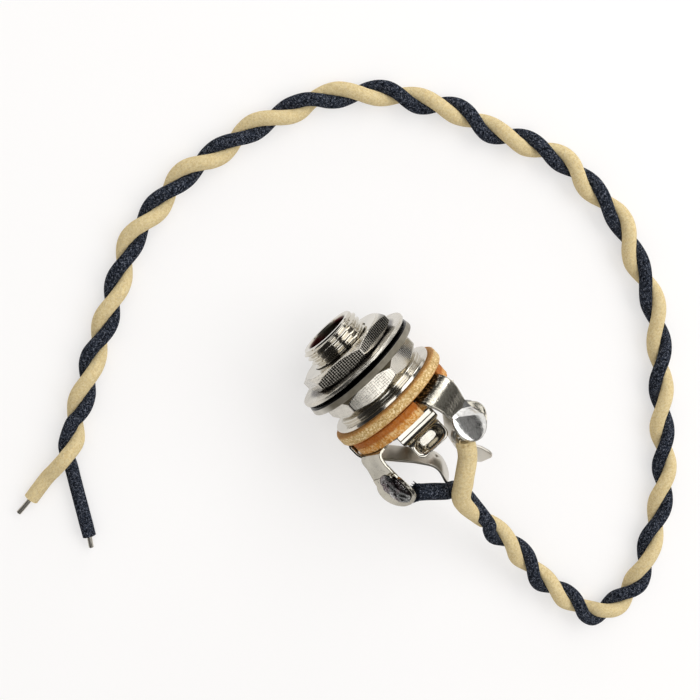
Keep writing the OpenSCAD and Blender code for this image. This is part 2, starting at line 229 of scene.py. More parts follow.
class Finish(Nodes):
    """A material with one shader, whose sockets take numbers, colours and links."""

    def __init__(self, name):
        self.material = bpy.data.materials.new(name)
        self.material.use_nodes = True
        super().__init__(self.material.node_tree)
        self.tree.nodes.clear()

    def place(self):
        """Object coordinates."""
        return self.add("ShaderNodeTexCoord", output=3)

    def flat_place(self):
        """The piece's own surface coordinates."""
        return self.add("ShaderNodeUVMap", {"uv_map": UV_NAME})

    def from_axis(self, x, z):
        """Distance from the jack's axis."""
        up = z - AXIS
        return self.math("SQRT", x * x + up * up)

    def bump(self, height, distance):
        """A normal from a height."""
        return self.add("ShaderNodeBump", None, {"Height": height, "Distance": distance, "Strength": 1.0})

    def surface(self, **sockets):
        """Ends the material with its shader."""
        inputs = {key.replace("_", " "): value for key, value in sockets.items()}
        inputs = {key: (*v, 1.0) if isinstance(v, tuple) else v for key, v in inputs.items()}
        shader = self.add("ShaderNodeBsdfPrincipled", None, inputs)
        self.add("ShaderNodeOutputMaterial", None, {"Surface": shader})
        return self.material


# Colours of stains, rust, flux, fibres and darker zones, and of painted shade, shadow and glints, that vary
# over the finishes
DARKENED_TINT = linear(30, 28, 22)
HOLE_RUST, HOLE_GREY = linear(74, 30, 30), linear(96, 93, 82)
PAINTED_GROOVE_SHADE = (0.004, 0.004, 0.004)
PAINTED_RIM_SHADE = linear(98, 91, 74)
NUT_SHADOW = linear(40, 26, 26)
FLUX_GREEN, FLUX_PURPLE = linear(24, 30, 30), linear(58, 22, 34)
SOLDER_PIT, SOLDER_GLINT = (0.12, 0.12, 0.13), (0.85, 0.86, 0.88)
FIBRE_SHADE, FIBRE_EDGE_SHADE = linear(170, 90, 14), linear(178, 116, 44)

# Places in metres along the jack and across it where a finish or its painted shade changes
NOWHERE = -1.0
NUTS_PART = FRONT + 6.0 * MM
# Where the painted dark reflection on the front nut's upper flat begins along the jack and lies across it
PAINTED_DARK_FLAT_FROM = FRONT + 3.3 * MM
PAINTED_DARK_FLAT_X = -3.6 * MM
GROOVE_DEPTH = 0.3 * MM
# Where the painted shade on the rear washer's rim ends across the jack
PAINTED_RIM_SHADE_X = 7.5 * MM
NUT_SHADOW_RADIUS = 8.0 * MM
# Where the painted shade at the ground solder's front ends
PAINTED_SOLDER_SHADE_TO = FRONT + 22.9 * MM
# Where the darker zone near the tip lug's root ends
LUG_DARKENED_TO = FRONT + 15.55 * MM


def dimmed(base, share):
    """A darker colour."""
    return tuple(c * share for c in base)


def plated(name, base, rough, spread, speck=0.0, darkening=NOWHERE):
    """Plated or tinned metal with soft stains and fine scratches, darker and speckled in front of a given
    place.
    """
    f = Finish(name)
    place = f.place()
    stain = f.grain(place, 260.0, 3.0)
    fine = f.grain(place, 2600.0, 2.0, 0.6)
    shade = f.mix(f.between(stain, 0.35, 0.7) * (0.25 + speck), tuple(base), dimmed(base, 0.62))
    shade = f.mix(f.between(fine, 0.4, 0.3) * speck, shade, dimmed(base, 0.25))
    _, along, _ = f.parts(place)
    # Darker and speckled in front of the given place
    dark = f.between(along, darkening + 0.3 * MM, darkening - 0.2 * MM) * f.between(fine, 0.66, 0.5)
    shade = f.mix(dark * 0.93, shade, DARKENED_TINT)
    roughness = f.between(stain, 0.3, 0.75) * spread + rough + fine * (spread * 0.4)
    normal = f.bump(fine + stain * 0.4, 0.000006 + 0.00003 * speck)
    return f.surface(Base_Color=shade, Metallic=1.0, Roughness=roughness, Normal=normal)


def threaded(name, base, bore):
    """Bright nickel with a dull, stained plug hole."""
    f = Finish(name)
    place = f.place()
    x, _, z = f.parts(place)
    hole = f.between(f.from_axis(x, z), bore / 2 + 0.3 * MM, bore / 2 + 0.1 * MM)
    stain = f.grain(place, 300.0, 3.0)
    fine = f.grain(place, 2600.0, 2.0, 0.6)
    inside = f.mix(f.between(stain, 0.4, 0.6), HOLE_RUST, HOLE_GREY)
    shade = f.mix(f.between(stain, 0.4, 0.7) * 0.3, tuple(base), dimmed(base, 0.7))
    shade = f.mix(hole, shade, inside)
    return f.surface(Base_Color=shade, Metallic=1.0, Roughness=0.07 + stain * 0.08 + hole * 0.3,
                     Normal=f.bump(fine, 0.000012))


def milled(name, base):
    """Plated nut with the cutter's fine lines along its flats and fainter ones across them, their darker
    colour being painted shade in the grooves.

    The front nut's lines are wider and broken into a hatch, and its upper flat carries a painted dark
    reflection.
    """
    f = Finish(name)
    across, along, _ = f.parts(f.flat_place())
    place = f.place()
    x, depth, _ = f.parts(place)
    stain = f.grain(place, 330.0, 3.0)
    broken = f.grain(place, 1900.0, 2.0)
    wander = f.grain(place, 500.0, 1.0) * 0.06
    front = f.between(depth, NUTS_PART + 0.2 * MM, NUTS_PART - 0.2 * MM)
    ridge = f.math("PINGPONG", across + wander, 0.19) + front * 0.035
    cross = f.math("PINGPONG", along + wander, 0.16)
    notch = 1.0 - f.between(cross, 0.1, 0.05) * front * 0.75
    lines = f.between(ridge, 0.163, 0.186) * f.between(broken, 0.3, 0.45) * notch
    lines = lines * (0.4 + f.between(x, -3.5 * MM, -1.5 * MM) * 0.6)
    hatch = f.between(cross, 0.13, 0.154) * f.between(broken, 0.44, 0.56)
    hatch = hatch * f.between(x, -2.5 * MM, -0.5 * MM)
    height = f.math("MAXIMUM", lines, hatch * 0.7) * (0.75 + front * 0.25)
    # Painted dark reflection on the front nut's upper flat: dull marks this painted reflection, not a duller
    # finish
    dull = f.between(x, PAINTED_DARK_FLAT_X + 0.6 * MM, PAINTED_DARK_FLAT_X - 0.6 * MM) * front
    dull = dull * f.between(depth, PAINTED_DARK_FLAT_FROM - 0.2 * MM, PAINTED_DARK_FLAT_FROM + 0.2 * MM)
    shade = f.mix(f.between(stain, 0.4, 0.7) * 0.35, tuple(base), dimmed(base, 0.7))
    shade = f.mix(dull * 0.85, shade, dimmed(base, 0.25))
    # The lines' darker colour is painted shade in the cutter's grooves; their bump and roughness are the
    # real lines
    shade = f.mix(height * 0.3, shade, dimmed(base, 0.3))
    return f.surface(Base_Color=shade, Metallic=1.0 - height * front * 0.75,
                     Roughness=0.06 + stain * 0.06 + height * 0.15, Normal=f.bump(height, 0.00003))


def satin(name, base):
    """Plated washer with fine rings, painted black shade by the lock washer's groove, a dull rim behind it
    with painted shade on most of it, and a painted nut shadow on the front face.
    """
    f = Finish(name)
    place = f.place()
    x, along, z = f.parts(place)
    rings = f.grain(f.stretched(place, (0.3, 3.0, 0.3)), 2400.0, 2.0)
    stain = f.grain(place, 420.0, 3.0)
    groove, end = (FRONT + at * MM for at in span("lock_washer"))
    rim_at = end + GROOVE_DEPTH
    # gap marks painted black shade on the washers' faces next to the lock washer's groove
    gap = f.between(along, groove - 0.1 * MM, groove) * f.between(along, rim_at + 0.15 * MM, rim_at)
    rim = f.between(along, rim_at, rim_at + 0.15 * MM)
    # Painted shade, mottled, on the rim where it lies less than about 7.5 mm across
    painted_rim_shade = rim * f.between(x, PAINTED_RIM_SHADE_X + 1.0 * MM, PAINTED_RIM_SHADE_X - 1.0 * MM) * (0.65 + stain * 0.5)
    face = FRONT + span("front_washer")[0] * MM
    shadow = f.between(f.from_axis(x, z), NUT_SHADOW_RADIUS + 0.4 * MM, NUT_SHADOW_RADIUS - 0.4 * MM)
    shadow = shadow * f.between(along, face + 0.2 * MM, face + 0.1 * MM)
    shade = f.mix(f.between(stain, 0.4, 0.7) * 0.4, tuple(base), dimmed(base, 0.6))
    shade = f.mix(gap, shade, PAINTED_GROOVE_SHADE)
    shade = f.mix(painted_rim_shade, shade, PAINTED_RIM_SHADE)
    shade = f.mix(shadow * 0.85, shade, NUT_SHADOW)
    rough = 0.15 + stain * 0.14 + rings * 0.1 + rim * 0.15
    return f.surface(Base_Color=shade, Metallic=1.0 - rim * 0.8, Roughness=rough,
                     Normal=f.bump(rings, 0.00009))


def soldered(name, base, dirt_and_painted_light):
    """Solder with a grainy skin, dark and stained in random patches where flux has charred, with painted
    shade in the same flux colours at its front and painted glints.
    """
    f = Finish(name)
    place = f.place()
    _, along, _ = f.parts(place)
    lump = f.grain(place, 650.0, 4.0, 0.65)
    speck = f.grain(place, 4200.0, 2.0, 0.6)
    dark = f.between(lump, 0.34, 0.5 - 0.06 * dirt_and_painted_light)
    darkening = f.mix(f.between(f.grain(place, 420.0, 2.0), 0.42, 0.58), FLUX_GREEN, FLUX_PURPLE)
    # Painted shade at the solder's front, in the flux colours that also stain its random dark patches
    painted_front_shade = f.between(along, PAINTED_SOLDER_SHADE_TO, PAINTED_SOLDER_SHADE_TO - 1.4 * MM) * f.between(lump, 0.62, 0.5)
    shade = f.mix(dark * (0.15 + dirt_and_painted_light), tuple(base), darkening)
    shade = f.mix(f.between(speck, 0.46, 0.36) * (0.15 + 0.3 * dirt_and_painted_light), shade, SOLDER_PIT)
    shade = f.mix(painted_front_shade * dirt_and_painted_light, shade, darkening)
    shade = f.mix(f.between(speck, 0.6, 0.7) * (0.2 + 0.5 * dirt_and_painted_light), shade, SOLDER_GLINT)
    normal = f.bump(lump * dirt_and_painted_light + speck * 0.3, 0.000012 + 0.00035 * dirt_and_painted_light)
    return f.surface(Base_Color=shade, Metallic=1.0, Roughness=0.07 + dark * 0.1, Normal=normal)


def fibre(name, base, pale, coarse, shaded=NOWHERE, middle=0.0, half=1.0):
    """Vulcanised fibre that shows its grain, shaded in front of a place, with painted shade on its edges at
    a half width from a middle.
    """
    f = Finish(name)
    place = f.place()
    _, along, _ = f.parts(place)
    grain = f.grain(place, 2900.0, 3.0, 0.8)
    patch = f.grain(place, 520.0, 3.0, 0.6)
    layers = f.grain(f.stretched(place, (1.0, 9.0, 1.0)), 700.0, 3.0)
    streak = f.grain(f.stretched(place, (1.0, 0.2, 1.0)), 2600.0, 2.0)
    front = f.between(along, shaded + 0.3 * MM, shaded - 0.2 * MM)
    # Painted shade along both edges of the rim, within 0.4 mm of a half width from the middle
    edge = f.between(f.math("ABSOLUTE", along - middle), half - 0.4 * MM, half)
    shade = f.mix(f.between(grain, 0.48, 0.6) * 0.9, tuple(base), pale)
    shade = f.mix(f.between(grain, 0.46, 0.34) * 0.8, shade, dimmed(base, 0.5))
    shade = f.mix(f.between(patch, 0.45, 0.7) * 0.4, shade, dimmed(base, 0.62))
    shade = f.mix(f.between(layers, 0.55, 0.75) * 0.35, shade, dimmed(base, 0.6))
    shade = f.mix(f.between(streak, 0.5, 0.64) * (coarse - 1.0), shade, pale)
    shade = f.mix(front * 0.85, shade, FIBRE_SHADE)
    shade = f.mix(edge * 0.75, shade, FIBRE_EDGE_SHADE)
    return f.surface(Base_Color=shade, Roughness=0.55 + grain * 0.25, Specular_IOR_Level=0.2,
                     Normal=f.bump(grain + layers * 0.6, 0.00012 * coarse))


def cloth(name, base, mottle, thread, show):
    """Waxed cotton braid, mottled, with loose fibres both ways on a lead's own surface coordinates."""
    f = Finish(name)
    around, along, _ = f.parts(f.flat_place())
    place = f.place()
    fuzz = f.grain(place, 3000.0, 3.0, 0.7)
    wax = f.grain(place, 420.0, 3.0)
    one_way, other_way = around + along, around - along
    first = f.grain(f.joined(one_way * 2.4, other_way * 0.6), 1.0, 1.0)
    second = f.grain(f.joined(other_way * 2.4, one_way * 0.6, 7.0), 1.0, 1.0)
    fibres = f.between(f.math("MAXIMUM", first, second), 0.58, 0.7)
    shade = f.mix(f.between(fuzz, 0.4, 0.62) * 0.8, tuple(base), mottle)
    shade = f.mix(f.between(wax, 0.45, 0.75) * 0.3, shade, dimmed(base, 0.8))
    shade = f.mix(fibres * show, shade, thread)
    return f.surface(Base_Color=shade, Roughness=0.75 + fuzz * 0.2, Specular_IOR_Level=0.03,
                     Normal=f.bump(fuzz + fibres * 0.5, 0.0001))


def make_finishes(colours, sizes):
    """Every material of the jack, by name."""
    nickel = colours.nickel
    tan_middle = FRONT + sum(span("front_insulator")) / 2 * MM
    orange_shaded = FRONT + (span("rear_insulator")[1] - 1.25) * MM
    return {
        "nickel": plated("bright_nickel", nickel, 0.07, 0.1),
        "bushing": threaded("threaded_nickel", nickel, sizes.bore),
        "nut": milled("milled_nickel", nickel),
        "washer": satin("satin_nickel", nickel),
        "steel": plated("dull_zinc", dimmed(nickel, 0.03), 0.5, 0.2),
        "lug": plated("tinned_sheet", colours.tin, 0.12, 0.12, 0.5, LUG_DARKENED_TO),
        "strip": plated("satin_strip", nickel, 0.31, 0.08, 0.03),
        "spring": plated("plated_strip", nickel, 0.09, 0.08, 0.03),
        "bright_solder": soldered("bright_solder", colours.solder, 0.02),
        "dull_solder": soldered("dull_solder", dimmed(colours.solder, 0.7), 0.7),
        "tan": fibre("tan_fibre", colours.tan_fibre, linear(246, 226, 180), 1.0,
                     middle=tan_middle, half=0.85 * MM),
        "orange": fibre("orange_fibre", colours.dark_fibre, linear(242, 208, 150), 1.6, orange_shaded),
        "cream": cloth("cream_cotton", colours.cream, linear(206, 182, 132), linear(238, 225, 190), 0.5),
        "black": cloth("black_cotton", colours.black, linear(56, 62, 74), linear(140, 146, 160), 0.6),
        "wire": plated("tinned_wire", nickel, 0.3, 0.12, 0.2),
    }


FINISHES = {}


# Meshes


def to_frame(points):
    """Points in millimetres of the jack's own places, in metres of the shared frame."""
    p = np.asarray(points, float).reshape(-1, 3) * MM
    return p + np.array([0.0, FRONT, AXIS])


def unit(vectors):
    """Vectors made one long."""
    return vectors / np.linalg.norm(vectors, axis=-1, keepdims=True)


def soft_step(share):
    """A share from 0 to 1 that starts and ends smoothly."""
    return share * share * (3 - 2 * share)


def linked(name, data):
    """A new object in the scene."""
    thing = bpy.data.objects.new(name, data)
    bpy.context.collection.objects.link(thing)
    return thing


def put(name, shape, finish, body, nodes=(), sharp=40.0):
    """Makes a piece from its points, faces and surface coordinates, and fits it to the frame."""
    points, faces, flat = shape
    mesh = bpy.data.meshes.new(name)
    mesh.from_pydata(to_frame(points).tolist(), [], faces)
    if flat is not None:
        layer = mesh.uv_layers.new(name=UV_NAME)
        layer.data.foreach_set("uv", np.asarray(flat, np.float32).ravel())
    return fit(name, mesh, finish, body, nodes, sharp)


def fit(name, mesh, finish, body, nodes=(), sharp=40.0):
    """Turns a mesh into a piece that rides on a body and stands for its nodes."""
    work = bmesh.new()
    work.from_mesh(mesh)
    bmesh.ops.remove_doubles(work, verts=work.verts, dist=2e-7)
    bmesh.ops.recalc_face_normals(work, faces=work.faces)
    work.to_mesh(mesh)
    work.free()
    mesh.shade_smooth()
    mesh.set_sharp_from_angle(angle=math.radians(sharp))
    mesh.materials.clear()
    mesh.materials.append(FINISHES[finish])
    piece = linked(name, mesh)
    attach(piece, body)
    if nodes:
        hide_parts(*nodes)
    return piece


def joined(*shapes):
    """Several shapes as one."""
    points, faces = [], []
    for part, some, _ in shapes:
        start = sum(len(p) for p in points)
        points.append(np.asarray(part, float).reshape(-1, 3))
        faces += [tuple(i + start for i in face) for face in some]
    return np.concatenate(points), faces, None


def grid_faces(rows, columns, wrap_rows=False, wrap_columns=False):
    """Faces of a grid of points, row by row."""
    faces = []
    for i in range(rows if wrap_rows else rows - 1):
        for k in range(columns if wrap_columns else columns - 1):
            a, b = i * columns, (i + 1) % rows * columns
            faces.append((a + k, a + (k + 1) % columns, b + (k + 1) % columns, b + k))
    return faces


def rounded(before, corner, after, size, count):
    """Points round a corner, from one size before it to one after it."""
    start, end = corner + unit(before - corner) * size, corner + unit(after - corner) * size
    return [(1 - t) ** 2 * start + 2 * t * (1 - t) * corner + t * t * end for t in np.linspace(0, 1, count)]


def eased(corners, ease, steps=4):
    """A closed outline with its corners rounded; ease is one size or one for each corner."""
    corners = [np.array(c, float) for c in corners]
    eases = [ease] * len(corners) if np.isscalar(ease) else ease
    outline = []
    for i, (corner, size) in enumerate(zip(corners, eases)):
        after = corners[(i + 1) % len(corners)]
        outline += rounded(corners[i - 1], corner, after, size, steps + 1) if size else [corner]
    return outline


def round_axis(radius, along, angle):
    """Points round the jack's axis."""
    return np.stack([radius * np.cos(angle), along, radius * np.sin(angle)], -1).reshape(-1, 3)


def turned(outline, steps=144, bend=None, closed=True):
    """A ring turned round the jack's axis from its outline of radius and place."""
    radius, along = (np.tile(line, (steps, 1)) for line in np.array(outline).T)
    angle = (np.arange(steps) * math.tau / steps)[:, None].repeat(len(outline), 1)
    if bend:
        radius, along = bend(radius, along, angle)
    return round_axis(radius, along, angle), grid_faces(steps, len(outline), True, closed), None


def disc(inner, outer, ends, ease, corner_steps, steps, bend=None, lean=0.0):
    """A flat ring with eased edges, whose rim may lean."""
    start, end = ends
    corners = [(inner, start), (outer - lean, start), (outer, end), (inner, end)]
    return turned(eased(corners, ease, corner_steps), steps, bend)


def thread_wall(core, depth, pitch, start, end, steps, rows=20):
    """A right handed thread whose rows follow its turns, running out into the core at both ends."""
    steepness, root_flat, run_in, run_off = 2.6, 0.18, 0.4, 0.2
    total = rows * (int((end - start) / pitch) + 3)
    row, turn = np.arange(total) / rows, np.arange(steps) / steps
    along = np.clip(start + (row[None, :] + turn[:, None] - 1.5) * pitch, start, end)
    wave = np.clip(np.abs(row % 1.0 - 0.5) * steepness - root_flat, 0.0, 1.0)
    run_out = np.clip((along - start) / run_in, 0.0, 1.0) * np.clip((end - along) / run_off, 0.0, 1.0)
    points = round_axis(core + depth * wave[None, :] * run_out, along, -turn[:, None] * math.tau)
    faces = grid_faces(steps, total)
    last = (steps - 1) * total
    faces += [(last + k, last + k + 1, k + 1 + rows, k + rows) for k in range(total - rows - 1)]
    return points, faces, None


def ragged(size, scale, notch=None):
    """A change of radius that roughens a cut edge, from smooth noise, and may cut a notch into it."""
    def bend(radius, along, angle):
        rim = 0.6
        outer = radius > radius.max() - rim
        if notch:
            middle, half, floor = notch
            inside = np.abs(np.degrees(angle) - middle) < half
            radius = np.where(inside, np.minimum(radius, floor), radius)
        place = np.stack([np.cos(angle) * scale, along * scale * 0.4, np.sin(angle) * scale], -1)
        lump = np.array([noise.noise(Vector(p)) for p in place.reshape(-1, 3)]).reshape(radius.shape)
        return radius + outer * lump * size, along
    return bend


def smooth(points, step):
    """A smooth curve through points, at even steps."""
    p = np.asarray(points, float)
    p = np.concatenate([[2 * p[0] - p[1]], p, [2 * p[-1] - p[-2]]])
    t = np.linspace(0, 1, 24, endpoint=False)[:, None]
    runs = []
    for a, b, c, d in zip(p[:-3], p[1:-2], p[2:-1], p[3:]):
        runs.append(0.5 * (2 * b + (c - a) * t + (2 * a - 5 * b + 4 * c - d) * t ** 2
                           + (3 * b - a - 3 * c + d) * t ** 3))
    return even(np.concatenate([*runs, p[-2:-1]]), step)


def lengths(points):
    """Distance along a line at each of its points."""
    return np.concatenate([[0.0], np.cumsum(np.linalg.norm(np.diff(points, axis=0), axis=1))])


def even(points, step):
    """The same line with points at even steps."""
    s = lengths(points)
    at = np.linspace(0, s[-1], max(2, int(round(s[-1] / step)) + 1))
    return np.stack([np.interp(at, s, points[:, k]) for k in range(points.shape[1])], -1)


def bent(corners, bends, step=0.12):
    """The side view of a bent strip as radius and place, with rounded bends."""
    c = [np.array(p, float) for p in corners]
    line = [c[0]]
    for before, corner, after, size in zip(c[:-2], c[1:-1], c[2:], bends):
        line += rounded(before, corner, after, size, 11)
    return even(np.array([*line, c[-1]]), step)


def lipped(wide, at, end, lip):
    """A half width that closes in a round end."""
    close = np.clip(at - (end - lip), 0.0, lip)
    return wide - lip + np.sqrt(np.maximum(lip ** 2 - close ** 2, 0.0))


def strip(path, half_width, sheet, turn, dish=None, columns=12, edge=0.1, sway=None):
    """Sheet metal along a side view, of a half width that changes along it, dished where it is pressed."""
    s = lengths(path)
    end = s[-1]
    extra = end - edge * np.array([0.6, 0.3, 0.1, 0.03])
    at = np.unique(np.concatenate([s, extra]))
    line = np.stack([np.interp(at, s, path[:, k]) for k in range(2)], -1)
    half = np.maximum(half_width(at), 0.02)
    inset = edge * np.array([0.0, 0.12, 0.4, 1.0])
    inner = np.linspace(-1, 1, columns)
    rows = []
    for w in half:
        near = inset * min(1.0, w / (2.5 * edge))
        rows.append(np.concatenate([-w + near[:-1], inner * (w - near[-1]), (w - near[:-1])[::-1]]))
    across = np.array(rows)
    from_side = half[:, None] - np.abs(across)
    from_end = (end - at)[:, None].repeat(across.shape[1], 1)
    inside = np.clip(np.minimum(from_side, from_end), 0, edge)
    thick = sheet / 2 - edge + np.sqrt(np.maximum(edge ** 2 - (edge - inside) ** 2, 0))
    tangent = unit(np.gradient(line, at, axis=0))
    normal = np.stack([tangent[:, 1], -tangent[:, 0]], -1)
    lift = dish(at[:, None], across) if dish else np.zeros_like(across)
    aside = across + (sway(at)[:, None] if sway else 0.0)
    middle = np.stack([line[:, :1] + normal[:, :1] * lift, aside, line[:, 1:] + normal[:, 1:] * lift], -1)
    along = np.gradient(middle, axis=0)
    side = np.gradient(middle, axis=1)
    out = np.cross(side, along)
    out /= np.maximum(np.linalg.norm(out, axis=-1, keepdims=True), 1e-9)
    out *= np.sign((out[:, :, 0] * normal[:, :1] + out[:, :, 2] * normal[:, 1:]))[..., None]
    n, m = across.shape
    local = np.concatenate([(middle + out * thick[..., None]).reshape(-1, 3),
                            (middle - out * thick[..., None]).reshape(-1, 3)])
    top = grid_faces(n, m)
    below = [tuple(i + n * m for i in face[::-1]) for face in top]
    rim = [*range(m), *range(2 * m - 1, n * m, m), *range(n * m - 2, (n - 1) * m - 1, -1),
           *range((n - 2) * m, 0, -m)]
    walls = [(a, b, b + n * m, a + n * m) for a, b in zip(rim, rim[1:] + rim[:1])]
    a = math.radians(turn)
    points = np.stack([local[:, 0] * math.cos(a) - local[:, 1] * math.sin(a), local[:, 2],
                       local[:, 0] * math.sin(a) + local[:, 1] * math.cos(a)], -1)
    return points, top + below + walls, None


def tube(path, radius, sides=24, yarns=16):
    """A tube of changing radius along a path, closed at both ends, with cloth coordinates."""
    path = np.asarray(path, float)
    radius = np.broadcast_to(radius, (len(path),))
    tangent = unit(np.gradient(path, axis=0))
    side = np.cross(tangent[0], [0.0, 0.0, 1.0])
    rings = []
    angles = np.arange(sides) * math.tau / sides
    for p, t, r in zip(path, tangent, radius):
        side = unit(side - t * np.dot(side, t))
        up = np.cross(side, t)
        rings.append(p + r * (np.cos(angles)[:, None] * side + np.sin(angles)[:, None] * up))
    n = len(path)
    points = np.concatenate([np.concatenate(rings), path[:1], path[-1:]])
    faces = grid_faces(n, sides, False, True)
    flat = []
    s = lengths(path) / (math.tau * np.median(radius)) * yarns
    for i in range(n - 1):
        for k in range(sides):
            a, b = k / sides * yarns, (k + 1) / sides * yarns
            flat += [(a, s[i]), (b, s[i]), (b, s[i + 1]), (a, s[i + 1])]
    for k in range(sides):
        for hub, ring, v in ((n * sides, 0, s[0]), (n * sides + 1, (n - 1) * sides, s[-1])):
            faces.append((hub, ring + k, ring + (k + 1) % sides))
            flat += [(0.0, v), (k / sides * yarns, v), ((k + 1) / sides * yarns, v)]
    return points, faces, flat


# Which way over a solder lump its shoulder slumps, and between which distances from its middle
SLUMP_WAY = (-0.82, 0.57)
SLUMP_FROM, SLUMP_TO = 0.6, 1.95


def dome(centre, turn, size, height, depth, tilt, lumps, seed, shoulder=0.0, rings=40, sides=96):
    """A lump of solder on a lug: a tilted cap with a slumped shoulder, and a low cap behind it."""
    a = math.radians(turn)
    outward = np.array([math.cos(a), 0.0, math.sin(a)])
    side = np.array([-math.sin(a), 0.0, math.cos(a)])
    back = np.array([0.0, 1.0, 0.0])
    points = []
    for face, tall in ((1.0, height), (-1.0, depth)):
        for i in range(rings if face > 0 else rings - 1):
            q = i / (rings - 1) if face > 0 else (rings - 2 - i) / (rings - 1)
            for k in range(sides):
                b = k * math.tau / sides
                flat = np.array([math.cos(b) * size[0], math.sin(b) * size[1]]) * math.sin(q * math.pi / 2)
                rise = tall * math.cos(q * math.pi / 2) ** 1.2
                lump = noise.noise(Vector((flat[0] * 1.3 + seed, flat[1] * 1.3, face))) * lumps * (1 - q)
                lift = face * (rise + lump)
                if face > 0:
                    ahead = float(np.dot(SLUMP_WAY, flat))
                    slump = np.clip(ahead - SLUMP_FROM, 0.0, SLUMP_TO - SLUMP_FROM)
                    slump -= 1.2 * max(ahead - SLUMP_TO, 0.0)
                    lift += float(np.dot(tilt, flat)) - shoulder * slump
                points.append(centre + back * flat[0] + side * flat[1] + outward * lift)
    return np.array(points), grid_faces(2 * rings - 1, sides, False, True), None


# Node trees that grow meshes


def growing(name, **sizes):
    """A geometry tree with named inputs for its sizes."""
    tree = bpy.data.node_groups.new(name, "GeometryNodeTree")
    tree.interface.new_socket("Geometry", in_out="INPUT", socket_type="NodeSocketGeometry")
    tree.interface.new_socket("Geometry", in_out="OUTPUT", socket_type="NodeSocketGeometry")
    for key, kind in sizes.items():
        tree.interface.new_socket(key, in_out="INPUT", socket_type=kind)
    nodes = Nodes(tree)
    start = tree.nodes.new("NodeGroupInput")
    return nodes, {socket.name: Value(nodes, socket) for socket in start.outputs if socket.name}


def ended(nodes, geometry, material):
    """Ends a geometry tree with plain, finished geometry."""
    plain = nodes.add("GeometryNodeRealizeInstances", None, {0: geometry})
    done = nodes.add("GeometryNodeSetMaterial", None, {"Geometry": plain, "Material": material})
    nodes.add("NodeGroupOutput", None, {0: done})
    return nodes.tree


def grown(name, host_points, host_faces, tree, sizes):
    """The plain mesh that a geometry tree grows on a host mesh."""
    host_mesh = bpy.data.meshes.new(name)
    host_mesh.from_pydata([tuple(p) for p in host_points], [], host_faces)
    host = linked(name + "_host", host_mesh)
    modifier = host.modifiers.new(name, "NODES")
    modifier.node_group = tree
    for item in tree.interface.items_tree:
        if item.in_out == "INPUT" and item.name in sizes:
            modifier[item.identifier] = sizes[item.name]
    ready = host.evaluated_get(bpy.context.evaluated_depsgraph_get())
    mesh = bpy.data.meshes.new_from_object(ready)
    host.modifiers.remove(modifier)
    bpy.data.objects.remove(host)
    return mesh


def toothed_tree(material):
    """Teeth set round a ring, standing on the axis of the jack."""
    nodes, given = growing("Toothed ring", Teeth="NodeSocketInt", Radius="NodeSocketFloat",
                           Tooth="NodeSocketVector", Height="NodeSocketFloat", Place="NodeSocketFloat")
    circle = nodes.add("GeometryNodeMeshCircle", None,
                       {"Vertices": given["Teeth"], "Radius": given["Radius"]})
    tooth = nodes.add("GeometryNodeMeshCube", None, {"Size": given["Tooth"]})
    place = nodes.add("GeometryNodeInputPosition")
    aim = nodes.add("FunctionNodeAlignRotationToVector", {"axis": "X"}, {"Vector": place})
    teeth = nodes.add("GeometryNodeInstanceOnPoints", None,
                      {"Points": circle, "Instance": tooth, "Rotation": aim})
    offset = nodes.add("ShaderNodeCombineXYZ", None, {"Y": given["Place"], "Z": given["Height"]})
    laid = nodes.add("GeometryNodeTransform", None,
                     {"Geometry": teeth, "Translation": offset, "Rotation": (math.pi / 2, 0.0, 0.0)})
    both = nodes.add("GeometryNodeJoinGeometry", None, {0: given["Geometry"]})
    nodes.tree.links.new(laid.socket, both.socket.node.inputs[0])
    return ended(nodes, both, material)


def frayed_tree(material):
    """Loose threads on the points of a cut end."""
    nodes, given = growing("Frayed threads", Length="NodeSocketFloat", Thickness="NodeSocketFloat",
                           Direction="NodeSocketVector", Seed="NodeSocketInt")
    hair = nodes.add("GeometryNodeMeshCone", None,
                     {"Vertices": 5, "Radius Top": given["Thickness"] * 0.4,
                      "Radius Bottom": given["Thickness"], "Depth": given["Length"]})
    spread = nodes.add("FunctionNodeRandomValue", {"data_type": "FLOAT_VECTOR"},
                       {0: (-0.8, -0.8, -0.8), 1: (0.8, 0.8, 0.8), "Seed": given["Seed"]})
    way = nodes.add("ShaderNodeVectorMath", {"operation": "ADD"}, {0: given["Direction"], 1: spread})
    aim = nodes.add("FunctionNodeAlignRotationToVector", {"axis": "Z"}, {"Vector": way})
    long = nodes.add("FunctionNodeRandomValue", {"data_type": "FLOAT"},
                     {2: 0.5, 3: 1.3, "Seed": given["Seed"]}, 1)
    threads = nodes.add("GeometryNodeInstanceOnPoints", None,
                        {"Points": given["Geometry"], "Instance": hair, "Rotation": aim, "Scale": long})
    return ended(nodes, threads, material)


